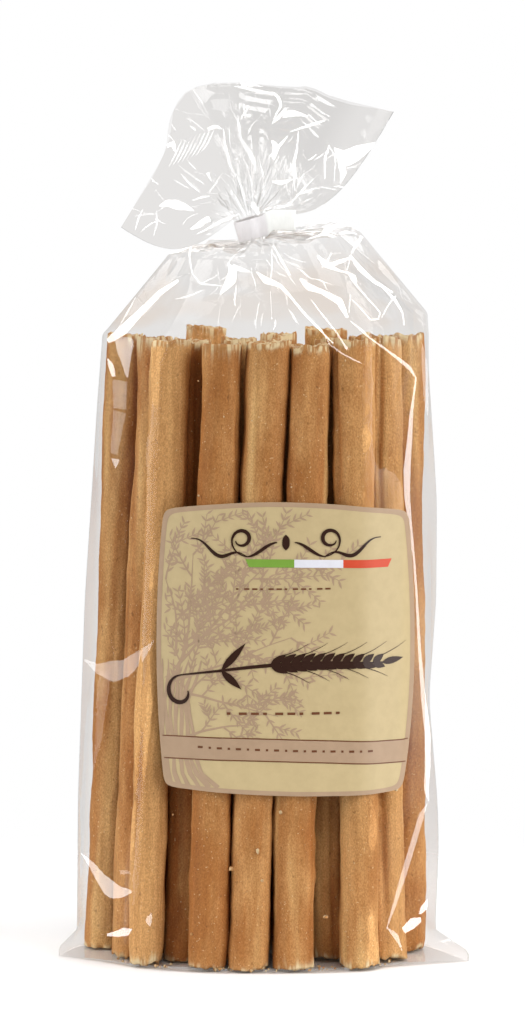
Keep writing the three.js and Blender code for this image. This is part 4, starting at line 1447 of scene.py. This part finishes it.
class BAG_OT_film(Operator):
    """Makes the clear film: the filled bag, its gathered neck and its frill"""

    bl_idname = "bag.film"
    bl_label = "Film"

    def execute(self, context):
        settings = context.scene.bag_film
        sticks = place_sticks(context.scene.bag_sticks.thickness / MM)
        material = film_material(settings)
        rng = np.random.default_rng(31)
        bag = self.make_bag(settings, sticks, material)
        folds = [*BAG_FOLDS, *small_folds(rng, 34, (-2.0, 236.0), (-165, -15), (4, 24))]
        self.make_folds("film_bag_folds", bag, folds, settings, material)
        frill = self.make_frill(settings, material)
        folds = [*FRILL_FOLDS, *self.comb()]
        folds += small_folds(rng, 80, (-5.0, 243.0), (15, 185), (7, 36))
        self.make_folds("film_frill_folds", frill, folds, settings, material)
        return {"FINISHED"}

    def make_bag(self, settings, sticks, material):
        rings, creased = film_body(sticks, settings)
        rows, count = rings.shape[:2]
        floor = film_floor(rings[0])
        points = np.concatenate([rings.reshape(-1, 3), floor.reshape(-1, 3)])
        faces = grid_faces(rows, count, wraps=True) + self.floor_faces(rows * count, floor.shape)
        z = points[:, 2]
        values = {
            "creased": np.concatenate([creased.ravel(), np.zeros(floor.size // 3)]),
            "mirrors": -0.028 * smoothstep(z, 236, STICK_TOP) - 0.06 * smoothstep(z, 10, 4),
            # The shoulder over the breadsticks' ends carries a painted reflection of the bread
            "bread_reflection": smoothstep(z, 204, 209) * smoothstep(z, 236, 222),
            "clearer": 0.4 * smoothstep(z, 224, 234) + 0.3 * smoothstep(z, 6, 1),
        }
        make_piece("film_bag", points, faces, material, ("bag",), values)
        return points, faces

    def make_frill(self, settings, material):
        frill, creased, mirrors = film_frill(settings)
        rows, count = frill.shape[:2]
        neck = np.array([neck_ring(height) for height in (0.0, 1.5, 3.0)])
        points = np.concatenate([neck, frill]).reshape(-1, 3)
        faces = grid_faces(len(neck) + rows, count, wraps=True)
        gathered = np.zeros(len(neck) * count)
        values = {
            "creased": np.concatenate([gathered, creased.ravel()]),
            "mirrors": np.concatenate([gathered, mirrors.ravel()]),
            "clearer": 0.7 * smoothstep(np.arange(len(points)) / len(points), 0.4, 0.12),
        }
        make_piece("film_frill", points, faces, material, ("bag",), values)
        return points, faces

    def make_folds(self, name, film, folds, settings, material):
        points, faces, values = film_folds(film, folds, settings)
        make_piece(name, points, faces, material, values=values)

    def comb(self):
        """A row of narrow folds side by side at the left of the frill."""
        folds = []
        for k in range(8):
            x, z = 1.45 * k - 26.3, 268.4 + 0.4 * k
            places = ((x, z, 0.2), (x - 1.9, z - 4, 0.75), (x - 4.2, z - 8.5 + 0.2 * k, 0.1))
            folds.append((-1, 0.6, places))
        return folds

    def floor_faces(self, first, shape):
        """Quads of the flat bottom, whose outer rows are the lowest ring's front and back."""
        rows, columns = shape[:2]
        index = np.zeros((rows + 2, columns + 2), int)
        index[0] = np.arange(HALF_ROUND + 1)
        index[-1] = [0, *range(2 * HALF_ROUND - 1, HALF_ROUND - 1, -1)]
        index[1:-1, 1:-1] = first + np.arange(rows * columns).reshape(rows, columns)
        index[1:-1, 0], index[1:-1, -1] = 0, HALF_ROUND
        faces = []
        for i in range(rows + 1):
            for j in range(columns + 1):
                quad = [index[i, j], index[i + 1, j], index[i + 1, j + 1], index[i, j + 1]]
                quad = [int(k) for n, k in enumerate(quad) if k not in quad[:n]]
                if len(quad) > 2:
                    faces.append(quad)
        return faces


class BAG_OT_label(Operator):
    """Makes the label and its print of generic shapes"""

    bl_idname = "bag.label"
    bl_label = "Label"

    def execute(self, context):
        settings = context.scene.bag_label
        front_depth = film_front(place_sticks(context.scene.bag_sticks.thickness / MM))
        self.make_paper(settings, front_depth)
        self.print_tan(settings, front_depth)
        self.print_brown(settings, front_depth)
        self.print_ribbon(settings, front_depth)
        return {"FINISHED"}

    def make_paper(self, settings, front_depth):
        columns, rows, thickness = 84, 96, 0.2
        x, z = label_sheet(columns, rows)
        y = front_depth(x, z) - LABEL_LIFT
        front, back = np.stack([x, y, z], -1), np.stack([x, y + thickness, z], -1)
        count = (rows + 1) * (columns + 1)
        points = np.concatenate([front, back]).reshape(-1, 3)
        faces = grid_faces(rows + 1, columns + 1)
        faces += [face[::-1] for face in grid_faces(rows + 1, columns + 1, first=count)]
        index = np.arange(count).reshape(rows + 1, columns + 1)
        rim = [*index[0], *index[1:, -1], *index[-1, -2::-1], *index[-2:0:-1, 0]]
        for a, b in zip(rim, rim[1:] + rim[:1]):
            faces.append([int(b), int(a), int(a) + count, int(b) + count])
        paper = paper_material("label_paper", settings.paper)
        make_piece("label_paper", points, faces, paper, ("label",))

    def print_tan(self, settings, front_depth):
        """The border, the tree that grows at the left, and the band across the foot."""
        ink = Print(front_depth, "tan")
        outer, inner = (np.stack(label_outline(inset), -1) for inset in BORDER)
        places = np.concatenate([outer, (outer + inner) / 2, inner])
        ink.add(places, grid_faces(3, len(outer)))
        ink.block(self.band_edges(), 60)
        left = LABEL_LOW[0]
        for k in range(TRUNK_STRIPS):
            height = np.linspace(61.6, 103, 40)
            spread = read_off(TRUNK_SPREAD, height)
            across = left + 1.6 + spread * k + 0.35 * np.sin(height / 3.1 + 1.3 * k)
            inside = across > left + 1.6 + 2.6 * smoothstep(height, 72, 60)
            wide = read_off(TRUNK_WIDTH, height) * (0.85 + 0.15 * np.cos(height / 2.3 + 2 * k))
            ink.strip(np.stack([across, height], -1)[inside], wide[inside])
        rng = np.random.default_rng(42)
        for (x, z), angle, length in BRANCHES:
            draw_branch(ink, rng, (left + x, z), angle, length, 2)
        ink.piece("label_print_tan", paper_material("tan_ink", settings.tan))

    def band_edges(self):
        """The lower and upper edges of the band, which fall to the right and bow upwards."""
        edges = []
        for up in BAND:
            x, _ = label_place(np.linspace(-0.975, 0.98, 61), np.full(61, up))
            p = np.linspace(-1, 1, 61)
            height = LABEL_CENTRE[2] + up * LABEL_HALF[2] - 0.1 - 1.35 * p - 0.95 * p * p
            edges.append(np.stack([x, height], -1))
        return edges

    def print_brown(self, settings, front_depth):
        """The ear of wheat and the scroll over the ribbon, then thin lines and small marks."""
        ink = Print(front_depth, "brown")
        self.draw_wheat(ink, WHEAT_START, WHEAT_LENGTH)
        self.draw_scroll(ink, SCROLL_CENTRE, SCROLL_HALF)
        ink.piece("label_print_brown", paper_material("brown_ink", settings.brown, 0.42))
        rust = Print(front_depth, "rust")
        for edge in self.band_edges():
            rust.strip(edge, 0.35)
        self.draw_small_marks(rust)
        rust.piece("label_print_rust", paper_material("rust_ink", settings.rust, 0.42))

    def draw_wheat(self, ink, start, length):
        """An ear of wheat that lies across the label on a curling stalk."""
        t = np.linspace(0, 1, 61)
        x = start[0] + length * t
        z = start[1] + 3.2 * np.sin(2.6 * t) + 2.0 * t
        ink.strip(np.stack([x, z], -1), 0.9 * (0.5 + 0.8 * np.sin(math.pi * t)))
        curl = np.linspace(0, 1.55 * math.pi, 40)
        size = 5.4
        spiral = size * (1 - 0.55 * curl / curl[-1])
        loop_x = x[0] + 0.3 - spiral * np.sin(curl) * 0.9
        loop_z = z[0] - size + spiral * np.cos(curl)
        width = 0.4 + 1.0 * np.sin(math.pi * np.linspace(0, 1, 40))
        ink.strip(np.stack([loop_x, loop_z], -1), width)
        for k in range(11):
            share = 0.44 + 0.05 * k
            grain_x, grain_z = np.interp(share, t, x), np.interp(share, t, z)
            size = 6.4 - 0.2 * k
            for side in (-1, 1):
                lean = 0.1 + side * 0.52
                ink.leaf(grain_x, grain_z, lean, size, 2.3)
                tip_x = grain_x + size * math.cos(lean) * 0.9
                tip_z = grain_z + size * math.sin(lean) * 0.9
                beard = np.stack([tip_x + 7.5 * t, tip_z + side * (2.4 * t + 1.2 * t * t)], -1)
                if k % 2 == 0 and inside_label(*beard[-1], 3):
                    ink.strip(beard, 0.28 * (1 - 0.7 * t))
        ink.leaf(x[-1] - 1, z[-1], 0.12, 7.0, 2.3)
        for lean, size in ((0.85, 12.0), (-0.75, 9.0)):
            ink.leaf(np.interp(0.2, t, x), np.interp(0.2, t, z), lean, size, 2.4)

    def draw_scroll(self, ink, centre, half):
        """Two mirrored scrolls with a lozenge between them."""
        middle, eye = half * 0.52, centre[1] + 2.2
        foot = eye - 5.1
        t, tail = np.linspace(0, 1, 60), np.linspace(0, 1, 40)
        for side in (-1, 1):
            turn = 2.5 * math.pi * t
            radius = 4.6 * (1 - t) + 0.5
            x = centre[0] + side * (middle + radius * np.cos(turn - math.pi / 2) + 3 * t)
            z = centre[1] + radius * np.sin(turn - math.pi / 2) + 2.2
            ink.strip(np.stack([x, z], -1), 0.35 + 0.9 * np.sin(math.pi * t) ** 2)
            x = centre[0] + side * (middle + half * 0.75 * tail)
            z = foot + 5.5 * tail**2 + 1.2 * np.sin(3 * math.pi * tail)
            ink.strip(np.stack([x, z], -1), 0.3 + 0.9 * np.sin(math.pi * tail) ** 2)
            x = centre[0] + side * (middle - (middle - 2.8) * tail)
            z = foot + 4.6 * smoothstep(tail, 0, 1)
            ink.strip(np.stack([x, z], -1), 0.35 + 0.7 * np.sin(math.pi * tail))
        for lean, down in ((0.5, 2.6), (1.5, -2.6)):
            ink.leaf(centre[0], centre[1] + 1.7 - down, lean * math.pi, 5.2, 2.4)

    def draw_small_marks(self, ink):
        """Rows of plain dots and dashes where a pack has its small print."""
        for z, first, last, size in MARKS:
            for k, x in enumerate(np.arange(first, last, size * 2.6)):
                long = size * (1.7 if k % 3 else 0.8)
                ink.strip([(x, z), (x + long / 2, z), (x + long, z)], size * 0.55)
        middle = (BAND[0] + BAND[1]) / 2
        for k in range(-9, 10):
            x, _ = label_place((k * 3.1) / 41, middle)
            z = LABEL_CENTRE[2] + middle * LABEL_HALF[2] - 0.1 - 0.1 * k
            long = 1.6 if k % 2 else 0.7
            ink.strip([(x - long / 2, z), (x, z), (x + long / 2, z)], 0.7)

    def print_ribbon(self, settings, front_depth):
        """The ribbon of three plain fields under the scroll, which sags towards its right."""
        left, right, low, high = RIBBON
        width = (right - left) / 3
        for k, name in enumerate(("green", "white", "red")):
            ink = Print(front_depth, "ribbon")
            start, end = left + k * width, left + (k + 1) * width
            in_left, in_right = SLANT if k == 0 else 0, SLANT if k == 2 else 0
            lower = np.array([(start + in_left, low), (end - in_right, low)])
            upper = np.array([(start, high), (end, high)])
            sag = np.array([[0, 0.12 * k * k], [0, 0.12 * (k + 1) ** 2]])
            ink.block((lower - sag, upper - sag), 16)
            material = paper_material(f"{name}_ink", getattr(settings, name))
            ink.piece(f"label_print_{name}", material)


class BAG_OT_tie(Operator):
    """Makes the flat band round the neck with its two-layer tail"""

    bl_idname = "bag.tie"
    bl_label = "Tie"

    def execute(self, context):
        settings = context.scene.bag_tie
        path = self.band_path()
        profile = self.band_profile(settings.thickness / MM)
        ahead = np.gradient(path, axis=0)
        ahead /= np.linalg.norm(ahead, axis=1, keepdims=True)
        beside = np.stack([ahead[:, 1], -ahead[:, 0]], -1)
        flat = path[:, None, :] + beside[:, None, :] * profile[None, :, :1]
        up = np.broadcast_to(profile[None, :, 1], flat.shape[:2])
        # The loop leans with the neck, and past it the tail levels out
        across = flat[..., 0]
        past = np.maximum(0, across - BAND_RADIUS * 0.8)
        slope = math.sin(NECK_TILT)
        lift = across * slope - past * (slope - 0.02) + 1.6 * smoothstep(past, 0, 2.5)
        lean = np.where(past > 0, np.maximum(0, 1 - past / 3), 1)
        x = across * math.cos(NECK_TILT) - up * slope * lean
        z = up * mix(1, math.cos(NECK_TILT), lean) + lift
        points = np.stack([x, flat[..., 1], z], -1) + NECK_CENTRE
        rows, columns = points.shape[:2]
        faces = grid_faces(rows, columns, wraps=True)
        faces.append(list(range(columns))[::-1])
        faces.append(list(range((rows - 1) * columns, rows * columns)))
        # The tail takes the lighter colour, and the loop the greyer one of painted shade
        values = {"tail": smoothstep(past, 0.5, 1.5).ravel()}
        material = band_material(settings)
        points = points.reshape(-1, 3)
        make_piece("tie_band", points, faces, material, ("neck_tie",), values)
        return {"FINISHED"}

    def band_path(self):
        """The band's middle line from above: in along the tail, round the neck and out again."""
        leave = math.radians(-58)  # where the loop turns into the tail
        angles = leave + np.linspace(0.12, 2 * math.pi - 0.12, 90)
        loop = BAND_RADIUS * np.stack([np.cos(angles), np.sin(angles)], -1)
        tail_end = TIE_HIGH[0] - NECK_CENTRE[0] - 0.2
        reach = np.linspace(1, 0, 24)[:-1, None]
        near, far = loop[0], loop[-1]
        first = near + reach * (np.array([tail_end, near[1] - 0.1]) - near)
        last = far + reach[::-1] * (np.array([tail_end + 0.3, near[1] - 0.95]) - far)
        path = np.concatenate([first, loop, last])
        for _ in range(3):
            path[1:-1] = 0.25 * path[:-2] + 0.5 * path[1:-1] + 0.25 * path[2:]
        return path

    def band_profile(self, thick):
        """The band's rounded section: places across its thickness and up its width."""
        bevel = thick * 0.45
        profile = []
        for quarter, (side, end) in enumerate(((1, 1), (-1, 1), (-1, -1), (1, -1))):
            for step in range(4):
                turn = (quarter + step / 3) * math.pi / 2
                across = side * (thick / 2 - bevel) + bevel * math.cos(turn)
                up = end * (BAND_WIDTH / 2 - bevel) + bevel * math.sin(turn)
                profile.append((across, up))
        return np.array(profile)


class BAG_OT_crumbs(Operator):
    """Makes the loose crumbs, on the bottom of the bag and against the front of the film"""

    bl_idname = "bag.crumbs"
    bl_label = "Crumbs"

    def execute(self, context):
        rng = np.random.default_rng(77)
        sticks = place_sticks(context.scene.bag_sticks.thickness / MM)
        front_depth = film_front(sticks)
        ball, triangles = self.ball()
        points, faces, grain = [], [], []
        for k in range(context.scene.bag_crumbs.count):
            size = rng.uniform(0.25, 0.6) if k % 4 else rng.uniform(0.5, 0.95)
            if k % 3:  # on the bottom of the bag
                x = rng.uniform(-48, 48)
                place = (x, front_depth(x, 1.0) + rng.uniform(1.0, 9.0), 0.5 + size * 0.4)
            else:  # against the film
                x, z = rng.uniform(-42, 44), rng.uniform(6, 200)
                place = (x, front_depth(x, z) + 0.35 + size * 0.5, z)
            shape = ball * size * rng.uniform(0.55, 1.1, 3)
            shape = shape * (1 + rng.uniform(-0.3, 0.3, (len(ball), 1)))
            first = sum(len(part) for part in points)
            points.append(shape + np.array(place))
            grain.append(shape * MM + rng.uniform(-1, 1, 3))
            faces += (triangles + first).tolist()
        points, grain = np.concatenate(points), np.concatenate(grain)
        values = {"grain": grain, "crumb": np.full(len(points), 0.8), "bake_and_shade": np.zeros(len(points))}
        material = bpy.data.materials.get("baked_crust") or crust_material(context.scene.bag_sticks)
        make_piece("crumbs", points, faces, material, values=values)
        return {"FINISHED"}

    def ball(self):
        """Points and triangles of a ball with twenty faces."""
        golden = (1 + math.sqrt(5)) / 2
        corners = []
        for a in (-1, 1):
            for b in (-golden, golden):
                corners += [(0, a, b), (a, b, 0), (b, 0, a)]
        corners = np.array(corners) / math.hypot(1, golden)
        gap = np.linalg.norm(corners[:, None] - corners[None], axis=-1)
        near = gap < 1.1
        triangles = []
        for i, j, k in combinations(range(len(corners)), 3):
            if near[i, j] and near[j, k] and near[i, k]:
                a, b, c = corners[i], corners[j], corners[k]
                out = np.dot(np.cross(b - a, c - a), a) > 0
                triangles.append((i, j, k) if out else (i, k, j))
        return corners, np.array(triangles)


class BAG_PT_panel(Panel):
    """Lists the pieces and their settings"""

    bl_idname = "BAG_PT_panel"
    bl_label = "Bag of Breadsticks"
    bl_space_type = "VIEW_3D"
    bl_region_type = "UI"
    bl_category = "Breadsticks"

    def draw(self, context):
        for operator, group in PIECES:
            box = self.layout.box()
            box.operator(operator.bl_idname)
            settings = getattr(context.scene, group)
            for name in settings.bl_rna.properties.keys():
                if name not in ("rna_type", "name"):
                    box.prop(settings, name)


SETTINGS = {
    "bag_stage": StageSettings,
    "bag_sticks": BreadstickSettings,
    "bag_film": FilmSettings,
    "bag_label": LabelSettings,
    "bag_tie": TieSettings,
    "bag_crumbs": CrumbSettings,
}
PIECES = (
    (BAG_OT_stage, "bag_stage"),
    (BAG_OT_breadsticks, "bag_sticks"),
    (BAG_OT_film, "bag_film"),
    (BAG_OT_label, "bag_label"),
    (BAG_OT_tie, "bag_tie"),
    (BAG_OT_crumbs, "bag_crumbs"),
)
CLASSES = (*SETTINGS.values(), *(operator for operator, _ in PIECES), BAG_PT_panel)


def register():
    for cls in CLASSES:
        bpy.utils.register_class(cls)
    for name, group in SETTINGS.items():
        setattr(bpy.types.Scene, name, PointerProperty(type=group))


def unregister():
    for name in SETTINGS:
        delattr(bpy.types.Scene, name)
    for cls in reversed(CLASSES):
        bpy.utils.unregister_class(cls)


def main():
    register()
    for operator, _ in PIECES:
        group, name = operator.bl_idname.split(".")
        getattr(getattr(bpy.ops, group), name)()


if __name__ == "__main__":
    main()
